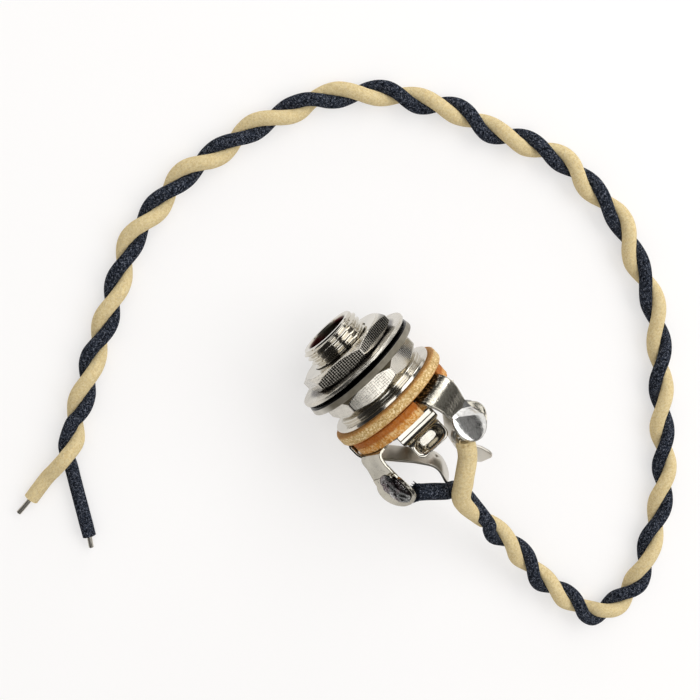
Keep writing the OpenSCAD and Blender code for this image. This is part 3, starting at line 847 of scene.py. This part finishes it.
# Routes of the leads in millimetres: the twist runs as in the part's source, and the near and far ends as in
# the photograph. TURN_AT is how far along the twist each of its turns begins
ROUTE_FRONT = 14.7
ROUTE_AXIS = 9.525
TWIST_ROUTE = [
    (2.5, 19.5, 9), (2.5, 25.5, 6.5), (2, 31.5, 4.5), (2.5, 38, 3), (1.5, 44, 2.2), (0.5, 49, 2),
    (-3.5, 50.5, 2), (-9, 50, 2), (-14, 47, 2), (-20, 43, 2), (-24.5, 38.5, 2), (-28, 34, 2),
    (-32.5, 28.5, 2), (-36.5, 23.5, 2), (-40, 17.5, 2), (-42, 11.5, 2), (-44, 5.5, 2), (-44, -2, 2),
    (-43.5, -7.5, 2), (-41, -13.5, 2), (-38.5, -18, 2), (-36.5, -24, 2), (-33.5, -28.5, 2),
    (-30, -33.5, 2), (-23, -39, 2), (-19, -40.5, 2), (-13, -42.5, 2), (-7, -43.5, 2), (-1, -44.5, 2),
    (5, -44, 2), (11, -43, 2), (17, -40, 2), (21.5, -37.5, 2), (27.5, -34.5, 2), (32.5, -31.5, 2),
    (38.5, -28.5, 2)]
TURN_AT = [-4.8, 7.7, 20.2, 31.1, 40.7, 53.8, 65.6, 79.2, 92.9, 106.5, 118.4, 130.0, 141.8, 155.0, 167.6,
           179.8, 192.3, 204.3, 216.7, 229.0]
CREAM_NEAR = [(-2.3, 11.6, 15.4), (0.65, 14.2, 14.8), (2.8, 16.8, 13.0)]
BLACK_NEAR = [(5.25, 12.25, 13.0), (3.55, 14.4, 11.6), (2.0, 16.6, 9.6)]
CREAM_FAR = [(37.8, -27.35, 2.3), (40.4, -26.85, 3.2), (43.2, -26.55, 2.3), (45.1, -26.4, 1.5),
             (48.9, -25.75, 1.15)]
BLACK_FAR = [(39.45, -28.2, 1.5), (40.65, -26.5, 1.05), (41.4, -25.0, 1.05), (42.9, -22.5, 1.05),
             (46.95, -15.65, 1.05)]
CREAM_WIRE = [(48.5, -25.85, 1.15), (50.2, -25.65, 1.1), (51.75, -25.5, 1.0)]
BLACK_WIRE = [(46.7, -16, 1.1), (47.5, -14.9, 1.0), (48, -14.2, 0.85)]

# The lugs: turn round the axis in degrees, radius and place of the eye, radii of the ring, widths at
# the blade's root, neck and eye, radius, place and rounding of each bend, and how the eye is cupped, eared,
# leant and swayed
TIP_LUG = {"plate": "tip_lug", "turn": 129.0, "eye": (8.95, 22.5), "ring": (5.1, 7.4),
           "widths": (6.2, 4.2, 6.5), "bends": ((7.3, 14.25, 0.5), (9.85, 16.2, 2.2)),
           "bowl": 0.1, "ear": 0.75, "lean": 0.0, "sway": (-0.35, 0.3)}
GROUND_LUG = {"plate": "ground_lug", "turn": 27.5, "eye": (9.6, 23.15), "ring": (4.25, 5.1),
              "widths": (5.6, 5.0, 6.8),
              "bends": ((5.75, 17.25, 0.3), (6.3, 16.95, 0.3), (9.0, 16.95, 0.8), (9.35, 19.6, 0.9)),
              "bowl": 0.0, "ear": 0.5, "lean": -0.2, "sway": (0.0, 0.0)}


def from_route(points):
    """Points of a route in the jack's own places."""
    return [np.array((x, y + ROUTE_FRONT, z - ROUTE_AXIS)) for x, y, z in points]


def on_lug(lug, out=0.0, side=0.0, back=0.0):
    """A point by the middle of a lug's eye, moved outward, to its side and to the rear."""
    a = math.radians(lug["turn"])
    radius, along = lug["eye"]
    radius += out
    return np.array((radius * math.cos(a) - side * math.sin(a), along + back,
                     radius * math.sin(a) + side * math.cos(a)))


def twist(lead_radius):
    """The middle of the twisted pair and the offset of the cream lead from it."""
    middle = smooth(from_route(TWIST_ROUTE), 0.5)
    s = lengths(middle)
    tangent = unit(np.gradient(middle, axis=0))
    right = unit(np.cross(tangent, [0.0, 0.0, 1.0]))
    up = np.cross(right, tangent)
    phase = np.interp(s, TURN_AT, np.arange(len(TURN_AT))) * math.tau
    offset = up * np.sin(phase)[:, None] - right * np.cos(phase)[:, None]
    return middle, offset * lead_radius


class PieceOperator(bpy.types.Operator):
    """Shared settings of the operators."""
    bl_options = {"INTERNAL"}

    @classmethod
    def poll(cls, context):
        return context.scene is not None


class JACK_OT_finishes(PieceOperator):
    """Make the materials"""
    bl_idname = "jack.finishes"
    bl_label = "Finishes"

    def execute(self, context):
        FINISHES.update(make_finishes(context.scene.jack_colours, context.scene.jack_sizes))
        return {"FINISHED"}


class JACK_OT_leads(PieceOperator):
    """Make the two cloth covered leads, their bare ends and their frayed cuts"""
    bl_idname = "jack.leads"
    bl_label = "Leads"

    def execute(self, context):
        sizes = context.scene.lead_sizes
        pair, cream_cloth, black_cloth, cream_d, black_d, wire, fray = in_mm(
            sizes, "pair", "cream_cloth", "black_cloth", "cream_start", "black_start", "wire", "fray")
        middle, offset = twist(pair / 2)
        keep = slice(8, len(middle) - 4, 3)
        cream_start = on_lug(TIP_LUG, -1.2, -1.5, 1.2)
        black_start = on_lug(GROUND_LUG, -1.7, 0.6, 2.25)
        cream = [cream_start, *from_route(CREAM_NEAR), *(middle + offset)[keep], *from_route(CREAM_FAR)]
        black = [black_start, *from_route(BLACK_NEAR), *(middle - offset)[keep], *from_route(BLACK_FAR)]
        self.lead("cream_lead", cream, cream_d, cream_cloth, middle, from_route(CREAM_WIRE), wire,
                  ("lead_twist", "cream_near", "cream_far"))
        self.lead("black_lead", black, black_d, black_cloth, middle, from_route(BLACK_WIRE), wire,
                  ("black_near", "black_far"))
        self.fray("black", black_start, np.array(from_route(BLACK_NEAR)[0]) - black_start, black_d / 2, fray)
        self.fray("cream", cream_start, np.array(from_route(CREAM_NEAR)[0]) - cream_start, cream_d / 2, fray)
        strand = [on_lug(TIP_LUG, *at) for at in ((-0.3, -2.5, -1.0), (-0.9, -2.9, -0.4), (-1.5, -2.6, 0.5))]
        put("cream_strand", tube(smooth([*strand, cream_start], 0.1), wire * 0.6, 14), "wire", "jack")
        return {"FINISHED"}

    def lead(self, name, points, start_d, cloth_d, middle, wire_points, wire, nodes):
        """One lead as a tube that its neighbour presses flat."""
        kind = name.split("_")[0]
        path = smooth(points, 0.4)
        s = lengths(path)
        share = np.clip((s - 9) / 9, 0, 1)
        radius = (start_d * (1 - share) + cloth_d * share) / 2
        radius *= 1 + 0.03 * np.array([noise.noise(Vector((v * 0.45, len(nodes), 0.0))) for v in s])
        shape = tube(path, radius)
        cloth_points = self.pressed(shape[0], path, middle)
        piece = put(name, (cloth_points, shape[1], shape[2]), kind, "jack", nodes, 60.0)
        end = put(kind + "_wire", tube(smooth(wire_points, 0.1), wire / 2, 14), "wire", "jack",
                  (kind + "_tip",))

    @staticmethod
    def pressed(points, path, middle):
        """Points of a lead kept on its own side of the pair's middle."""
        sides = (len(points) - 2) // len(path)
        moved = points.copy()
        for i, centre in enumerate(path):
            gap = np.linalg.norm(middle - centre, axis=1)
            near = int(gap.argmin())
            if gap[near] > 1.3 or not 8 < near < len(middle) - 8:
                continue
            out = (centre - middle[near]) / gap[near]
            ring = slice(i * sides, (i + 1) * sides)
            short = np.maximum(0.03 - (moved[ring] - middle[near]) @ out, 0.0)
            moved[ring] += short[:, None] * out
        return moved

    @staticmethod
    def fray(kind, start, direction, radius, size):
        """Loose threads round a lead's cut end."""
        count, golden_angle = 70, 2.399963
        way = -unit(direction)
        side = unit(np.cross(way, [0.0, 0.0, 1.0]))
        up = np.cross(side, way)
        angles = np.arange(count) * golden_angle
        depth = (np.arange(count) % 7) * 0.12
        points = [start - way * d + radius * 0.98 * (math.cos(a) * side + math.sin(a) * up)
                  for a, d in zip(angles, depth)]
        mesh = grown(kind + "_threads", to_frame(points), [], frayed_tree(FINISHES[kind]),
                     {"Length": size * MM, "Thickness": 0.1 * MM, "Direction": tuple(way), "Seed": 4})
        fit(kind + "_threads", mesh, kind, "jack")


class JACK_OT_bushing(PieceOperator):
    """Make the threaded bushing and its flange"""
    bl_idname = "jack.bushing"
    bl_label = "Bushing"

    def execute(self, context):
        sizes = context.scene.jack_sizes
        pitch, depth, bore, barrel, hub = in_mm(
            sizes, "thread_pitch", "thread_depth", "bore", "barrel", "hub")
        hub_at, insulator_at = span("flange")
        tail = span("bushing")[1]
        thread, staked = 9.525 / 2, 4.9
        core, inner, rear = thread - depth, bore / 2, barrel / 2
        nose, hidden, steps = 0.12, span("front_nut")[0] + 0.8, 192
        outline = [(core, hidden), (thread - 0.03, hidden + 0.1), (thread - 0.03, hub_at),
                   (rear, hub_at + 0.02), (rear, tail - 0.5), (staked, tail - 0.5), (staked, tail - 0.2),
                   (staked - 0.2, tail), (inner + 0.15, tail), (inner, tail - 0.2), (inner, 0.35),
                   (inner + 0.35, 0.0), (core - 0.1, 0.0), (core, nose)]
        wall = thread_wall(core, depth, pitch, nose, hidden, steps)
        bushing = joined(turned(outline, steps, closed=False), wall)
        put("threaded_bushing", bushing, "bushing", "jack", ("bushing",), 35.0)
        rim, hub_r, rim_at = reach("flange"), hub / 2, insulator_at - 0.75
        profile = eased([(rear, hub_at), (hub_r, hub_at), (hub_r - 0.12, rim_at), (rim, rim_at + 0.05),
                         (rim, insulator_at), (rear, insulator_at)], [0, 0.22, 0.1, 0.2, 0.1, 0])
        put("flange_ring", turned(profile), "nickel", "jack", ("flange",), 25.0)
        return {"FINISHED"}


class JACK_OT_nuts(PieceOperator):
    """Make the two hex nuts"""
    bl_idname = "jack.nuts"
    bl_label = "Nuts"

    def execute(self, context):
        sizes = context.scene.jack_sizes
        put("front_hex_nut", self.nut(sizes, span("front_nut"), 42.0), "nut", "front_nut",
            ("front_nut",), 24.0)
        put("rear_hex_nut", self.nut(sizes, span("rear_nut"), 52.0), "nut", "jack",
            ("rear_nut",), 24.0)
        return {"FINISHED"}

    @staticmethod
    def nut(sizes, ends, corner):
        """A chamfered hex nut, with the cutter's lines in its surface coordinates."""
        flats, = in_mm(sizes, "nut_flats")
        chamfer = sizes.nut_chamfer * (ends[1] - ends[0])
        flat, point, hole = flats / 2, flats / 2 / math.cos(math.radians(30)), 4.82
        start, end = ends
        low = np.linspace(0.0, chamfer, 13)
        rows = np.concatenate([start + low, np.linspace(start + chamfer, end - chamfer, 6)[1:-1],
                               (end - low)[::-1]])
        each = 48
        corner_steps = np.sin(np.linspace(-1, 1, each + 1)[:-1] * math.pi / 2) * 30.0
        angles = np.concatenate([corner + 30.0 + 60.0 * k + corner_steps for k in range(6)])
        off = np.concatenate([corner_steps] * 6)
        hexed = flat / np.cos(np.radians(off))
        hexed = np.minimum(hexed, point - 0.06)
        depth = np.minimum(rows - start, end - rows)
        cone = flat - 0.2 + (point - flat + 0.2) * depth / chamfer
        soft = 0.025
        flats_share = np.exp(-(hexed[:, None] - flat) / soft)
        edge = -soft * np.log(flats_share + np.exp(-(cone[None, :] - flat) / soft)) + flat
        radius = np.concatenate([np.full((len(off), 1), hole), edge, np.full((len(off), 1), hole)], 1)
        place = np.concatenate([[start], rows, [end]])[None, :].repeat(len(off), 0)
        points = round_axis(radius, place, np.radians(angles)[:, None])
        columns = len(rows) + 2
        faces = grid_faces(len(off), columns, True, True)
        step = np.append(off[1:], 30.0)
        step[each - 1::each] = 30.0
        flat_uv = []
        for i in range(len(off)):
            left, right = flat * math.tan(math.radians(off[i])), flat * math.tan(math.radians(step[i]))
            for k in range(columns):
                here, after = place[i, k], place[i, (k + 1) % columns]
                if k in (0, columns - 2, columns - 1):
                    flat_uv += [(0.05, 0.05)] * 4
                    continue
                flat_uv += [(left, here), (left, after), (right, after), (right, here)]
        return points, faces, flat_uv


class JACK_OT_washers(PieceOperator):
    """Make the flat washers and the toothed lock washer"""
    bl_idname = "jack.washers"
    bl_label = "Washers"

    def execute(self, context):
        hole = 4.92
        for node, ease, lean in (("front_washer", 0.2, 0.0), ("rear_washer", 0.3, 0.22)):
            shape = disc(hole, reach(node), span(node), [0.1, ease, ease, 0.1], 5, 160, lean=lean)
            put(node + "_disc", shape, "washer", "jack", (node,), 30.0)
        start, end = span("lock_washer")
        inside = 6.3
        ring = disc(inside, reach("lock_washer"), (start, end), 0.06, 3, 96)
        tooth = (inside + 0.3 - hole, 1.3, end - start + 0.3)
        mesh = grown("toothed_washer", to_frame(ring[0]), ring[1], toothed_tree(FINISHES["steel"]),
                     {"Teeth": context.scene.jack_sizes.lock_teeth, "Radius": (inside + 0.3 + hole) / 2 * MM,
                      "Tooth": tuple(v * MM for v in tooth), "Height": AXIS,
                      "Place": FRONT + (start + end) / 2 * MM})
        fit("toothed_washer", mesh, "steel", "jack", ("lock_washer",))
        return {"FINISHED"}


class JACK_OT_insulators(PieceOperator):
    """Make the two fibre insulators"""
    bl_idname = "jack.insulators"
    bl_label = "Insulators"

    def execute(self, context):
        hole = context.scene.jack_sizes.barrel / 2 / MM + 0.05
        front = disc(hole, reach("front_insulator"), span("front_insulator"), [0, 0.4, 0.4, 0], 6, 220,
                     ragged(0.05, 14.0))
        put("front_fibre", front, "tan", "jack", ("front_insulator",), 50.0)
        (collar_at, end), rim = span("rear_insulator"), reach("rear_insulator")
        start = end - 2.3
        corners = [(hole, collar_at), (hole + 0.8, collar_at), (hole + 0.8, start), (rim, start),
                   (rim, (start + end) / 2), (rim, end), (hole, end)]
        profile = eased(corners, [0, 0, 0, 0.3, 0.25, 0.3, 0], 6)
        notch = (TIP_LUG["turn"] - 2.0, 22.0, 7.2)
        put("rear_fibre", turned(profile, 260, ragged(0.14, 22.0, notch)), "orange", "jack",
            ("rear_insulator",), 50.0)
        return {"FINISHED"}


class JACK_OT_lugs(PieceOperator):
    """Make the two solder lugs and their solder"""
    bl_idname = "jack.lugs"
    bl_label = "Lugs"

    def execute(self, context):
        sizes = context.scene.jack_sizes
        for lug in (TIP_LUG, GROUND_LUG):
            self.lug(sizes, lug)
        tip = dome(on_lug(TIP_LUG, 0.5, 0.05, -0.3), TIP_LUG["turn"], size=(2.95, 3.2), height=0.4,
                   depth=1.0, tilt=(0.05, -0.015), lumps=0.03, seed=3.0, shoulder=0.26)
        put("tip_solder_lump", tip, "bright_solder", "jack", ("tip_solder",), 60.0)
        ground = dome(on_lug(GROUND_LUG, 0.1, 0.3, -0.4), GROUND_LUG["turn"], size=(2.75, 2.4), height=0.75,
                      depth=0.7, tilt=(0.0, -0.05), lumps=0.5, seed=9.0)
        put("ground_solder_lump", ground, "dull_solder", "jack", ("ground_solder",), 60.0)
        return {"FINISHED"}

    @staticmethod
    def lug(sizes, lug):
        """A lug's ring and its blade, which bends to the rear and ends in an eye with one raised ear."""
        sheet, long = in_mm(sizes, "lug_sheet", "eye_length")
        root, neck, wide = lug["widths"]
        start = span(lug["plate"])[0]
        (eye_r, eye_at), (ring_in, ring_out), bends = lug["eye"], lug["ring"], lug["bends"]
        corners = [(ring_in + 0.4, start + sheet / 2), *[bend[:2] for bend in bends],
                   (eye_r, eye_at - 2.0), (eye_r, eye_at + long / 2)]
        path = bent(corners, [*[bend[2] for bend in bends], 0.9])
        centre = lengths(path)[-1] - long / 2
        neck_at = centre - 0.45 * long
        taper_at = neck_at - 4.0

        def width(at):
            halves = [0.6 * root / 2, root / 2, root / 2, neck / 2]
            blade = np.interp(at, [0.0, 3.0, taper_at, neck_at], halves)
            eye = wide / 2 * np.sqrt(np.maximum(1 - ((at - centre) / (long / 2)) ** 2, 0.0))
            return np.maximum(np.where(at > centre, 0.0, blade), eye)

        def dish(at, across):
            back, side = (at - centre) / (long / 2), across / (wide / 2)
            begun = np.clip((back + 1.1) / 0.5, 0.0, 1.0)
            rim = np.clip((np.hypot(back, side) - 0.66) / 0.34, 0.0, 1.0)
            ear = np.clip((side - 0.5) / 0.5, 0.0, 1.0)
            leant = np.clip((back + 1.7) / 0.9, 0.0, 1.0) * lug["lean"] * across
            return leant + begun * (lug["bowl"] * soft_step(rim) + lug["ear"] * ear * ear)

        def sway(at):
            return np.interp(at, [taper_at, centre - 1.0], lug["sway"])

        blade = strip(path, width, sheet, lug["turn"], dish, 26, sway=sway)
        ring = disc(ring_in, ring_out, (start, start + sheet), 0.05, 2, 96)
        put(lug["plate"] + "_blade", joined(blade, ring), "lug", "jack", (lug["plate"],), 35.0)


class JACK_OT_springs(PieceOperator):
    """Make the tip and ground springs"""
    bl_idname = "jack.springs"
    bl_label = "Springs"

    TIPS = (("tip_spring_a", -18.0, (0.8, 25.4), (2.2, 28.8), (2.55, 0.0, 0.0)),
            ("tip_spring_b", 198.0, (2.6, 25.4), (4.4, 31.0), (1.5, 1.05, 0.25)))
    GROUNDS = (("ground_spring_a", 90.0), ("ground_spring_b", 270.0))

    def execute(self, context):
        sheet, tip_radius = in_mm(context.scene.jack_sizes, "spring_sheet", "spring_radius")
        for kind, radius, ring, finish, make, springs in (
                ("tip", tip_radius, (5.1, 7.4), "strip", self.tip, self.TIPS),
                ("ground", 5.6, (4.25, 5.4), "spring", self.ground, self.GROUNDS)):
            low = span(kind + "_spring_plate")[0]
            shapes = [disc(*ring, (low, low + sheet), 0.05, 2, 96)]
            for node, turn, *form in springs:
                root, arm = make(radius, low + sheet / 2, sheet, turn, *form)
                shapes.append(root)
                put(node + "_arm", arm, finish, node, (node,), 35.0)
            put(kind + "_spring_ring", joined(*shapes), "spring", "jack",
                (kind + "_spring_plate",), 35.0)
        return {"FINISHED"}

    @staticmethod
    def tip(radius, plate_at, sheet, turn, contact, tail, root_at):
        """The root of a tip spring round the rear insulator, and its arm over the contact to the tail."""
        knee = np.array((radius, 17.1))
        contact, tail = np.array(contact), np.array(tail)
        half, aside, twisted = root_at
        way = unit(contact - knee)
        root = bent([(6.4, plate_at), (radius, plate_at), knee, knee + 1.3 * way], [0.5, 0.9])
        arm = bent([knee + 1.36 * way, contact, tail], [1.5], 0.1)
        end = lengths(arm)[-1]
        press = end - np.linalg.norm(tail - contact)
        lip = 1.5

        def width(at):
            wide = np.interp(at, [0.0, press - 3.4, press - 2.2, press], [2.55, 2.5, 2.6, 2.5])
            return lipped(wide, at, end, lip)

        def dish(at, across):
            dent = np.exp(-(((at - press + 0.1) / 0.34) ** 2 + ((across + 0.5) / 0.34) ** 2))
            trough = np.exp(-((at - press) / 1.7) ** 2) * (across / 2.5) ** 2
            lean = -twisted * across * np.clip((at - press - 0.8) / 2.5, 0.0, 1.0)
            return 0.35 * trough + 0.28 * dent + lean

        return (strip(root, lambda at: np.full_like(at, half), sheet, turn,
                      sway=lambda at: np.full_like(at, aside)),
                strip(arm, width, sheet, turn, dish, 20))

    @staticmethod
    def ground(radius, plate_at, sheet, turn):
        """The root of a ground spring, and its arm with the pressed pan that touches the plug."""
        root = bent([(4.6, plate_at), (radius, plate_at), (radius, plate_at + 1.2)], [0.5])
        arm = bent([(radius, plate_at + 1.24), (radius, plate_at + 1.9), (4.8, plate_at + 2.6),
                    (4.65, plate_at + 5.7)], [0.35, 0.5], 0.08)
        end = lengths(arm)[-1]
        pan, pan_half, lip = end - 1.55, 1.5, 1.1

        def width(at):
            wide = np.interp(at, [0.75, 1.25], [3.3, 2.85])
            return lipped(wide, at, end, lip)

        def dish(at, across):
            u, v = np.abs(at - pan) / pan_half, np.abs(across) / 2.75
            away = (u ** 3 + v ** 3) ** (1 / 3)
            inside = np.clip((0.98 - away) / 0.5, 0.0, 1.0)
            return -1.35 * soft_step(inside)

        return (strip(root, lambda at: np.full_like(at, 3.3), sheet, turn),
                strip(arm, width, sheet, turn, dish, 40))


class JACK_OT_stage(PieceOperator):
    """Make the floor, the studio lights and the camera"""
    bl_idname = "jack.stage"
    bl_label = "Stage"

    TILT, TURN = math.radians(10.97), math.radians(46.33)
    DISTANCE, AHEAD, ASIDE = 188.7, 4.29, 0.62
    SENSOR = 36.0
    LENS = SENSOR * 1311.0 / 700.0
    LAMPS = (("side_box", (-0.67, 0.15, 0.73), 0.5, (0.8, 0.3), 1.7),
             ("window_box", (-0.86, -0.48, 0.2), 0.6, (0.32, 0.16), 0.6),
             ("overhead_box", (0.07, 0.24, 0.97), 0.6, (0.26, 0.2), 0.3),
             ("front_box", (0.1, -0.45, 0.89), 0.55, (0.3, 0.07), 0.12))

    def execute(self, context):
        self.camera(context.scene)
        self.floor(context.scene.jack_colours)
        for lamp in self.LAMPS:
            self.lamp(*lamp)
        self.world(context.scene)
        context.scene.view_settings.view_transform = "Standard"
        return {"FINISHED"}

    def camera(self, scene):
        """The camera of the photograph, looking down on the jack."""
        tilt, turn = self.TILT, self.TURN
        up = self.DISTANCE * math.cos(tilt) + self.AHEAD * math.sin(tilt)
        along = self.AHEAD * math.cos(tilt) - self.DISTANCE * math.sin(tilt)
        right = Vector((-math.sin(turn), math.cos(turn) * math.cos(tilt), math.cos(turn) * math.sin(tilt)))
        down = Vector((math.cos(turn), math.sin(turn) * math.cos(tilt), math.sin(turn) * math.sin(tilt)))
        back = Vector((0.0, -math.sin(tilt), math.cos(tilt)))
        data = bpy.data.cameras.new("camera")
        data.sensor_width, data.lens, data.clip_start = self.SENSOR, self.LENS, 0.01
        camera = linked("camera", data)
        place = to_frame((-self.ASIDE, along, up))[0]
        camera.matrix_world = Matrix.Translation(place) @ Matrix((right, -down, back)).transposed().to_4x4()
        scene.camera = camera

    @staticmethod
    def floor(colours):
        """A pale floor that looks white to the camera and in the metal, and keeps its shadows."""
        mesh = bpy.data.meshes.new("floor")
        far = 0.3
        corners = [(-far, -far, 0), (far, -far, 0), (far, far, 0), (-far, far, 0)]
        mesh.from_pydata(corners, [], [(0, 1, 2, 3)])
        floor = linked("floor", mesh)
        f = Finish("pale_floor")
        path = f.add("ShaderNodeLightPath").socket.node.outputs
        seen = f.math("MAXIMUM", Value(f, path["Is Camera Ray"]), Value(f, path["Is Glossy Ray"]))
        paper = f.add("ShaderNodeBsdfDiffuse", None, {"Color": (*colours.floor, 1.0)})
        glow = f.add("ShaderNodeEmission", None, {"Color": (1.0, 0.995, 0.99, 1.0), "Strength": 1.0})
        mixed = f.add("ShaderNodeMixShader", None, {0: seen * 0.55, 1: paper, 2: glow})
        f.add("ShaderNodeOutputMaterial", None, {"Surface": mixed})
        mesh.materials.append(f.material)

    @staticmethod
    def lamp(name, way, distance, size, power):
        """A soft box that faces the jack."""
        data = bpy.data.lights.new(name, "AREA")
        data.shape, data.size, data.size_y, data.energy = "RECTANGLE", size[0], size[1], power
        lamp = linked(name, data)
        toward = Vector(way).normalized()
        lamp.location = toward * distance
        lamp.rotation_euler = toward.to_track_quat("Z", "Y").to_euler()

    @staticmethod
    def world(scene):
        """A soft fill for matt surfaces, and for mirrors a dark room that is lighter low on one side."""
        world = bpy.data.worlds.new("room")
        world.use_nodes = True
        scene.world = world
        nodes = Nodes(world.node_tree)
        world.node_tree.nodes.clear()
        x, y, z = nodes.parts(nodes.add("ShaderNodeTexCoord"))
        path = nodes.add("ShaderNodeLightPath").socket.node.outputs
        mirrored, seen = Value(nodes, path["Is Glossy Ray"]), Value(nodes, path["Is Camera Ray"])
        low = nodes.between(z, 0.4, 0.1) * nodes.between(x, 0.0, 0.8) * 0.1
        rear_foot = nodes.between(y, 0.13, 0.04) * nodes.between(z, 0.0, 0.03)
        foot = nodes.math("MAXIMUM", nodes.between(z, 0.1, 0.18), rear_foot)
        wall = foot * nodes.between(z, 0.5, 0.3) * nodes.between(x * -1.0, 0.5, 0.8) * 0.17
        room = low + wall + nodes.between(z, 0.0, -0.012) * 0.85 + 0.025
        level = 0.56 + mirrored * (room - 0.56) + seen * 0.44
        tint = nodes.mix(level, (0.0, 0.0, 0.0), (1.0, 0.985, 0.97))
        glow = nodes.add("ShaderNodeBackground", None, {"Color": tint, "Strength": 1.0})
        nodes.add("ShaderNodeOutputWorld", None, {"Surface": glow})


OPERATORS = (JACK_OT_stage, JACK_OT_finishes, JACK_OT_leads, JACK_OT_bushing, JACK_OT_nuts, JACK_OT_washers,
             JACK_OT_insulators, JACK_OT_lugs, JACK_OT_springs)


class VIEW3D_PT_phone_jack(bpy.types.Panel):
    """Lists the jack's pieces, sizes and colours"""
    bl_label = "Phone Jack"
    bl_space_type = "VIEW_3D"
    bl_region_type = "UI"
    bl_category = "Phone Jack"

    def draw(self, context):
        for operator in OPERATORS:
            self.layout.operator(operator.bl_idname)
        for group in (context.scene.jack_sizes, context.scene.lead_sizes, context.scene.jack_colours):
            box = self.layout.box()
            for key in group.__annotations__:
                box.prop(group, key)


GROUPS = {"jack_sizes": JackSizes, "lead_sizes": LeadSizes, "jack_colours": JackColours}
CLASSES = (*GROUPS.values(), *OPERATORS, VIEW3D_PT_phone_jack)


def register():
    for cls in CLASSES:
        bpy.utils.register_class(cls)
    for key, group in GROUPS.items():
        setattr(bpy.types.Scene, key, PointerProperty(type=group))


def unregister():
    for key in GROUPS:
        delattr(bpy.types.Scene, key)
    for cls in reversed(CLASSES):
        bpy.utils.unregister_class(cls)


def main():
    """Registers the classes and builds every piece."""
    register()
    for operator in OPERATORS:
        area, name = operator.bl_idname.split(".")
        getattr(getattr(bpy.ops, area), name)()


if __name__ == "__main__":
    main()
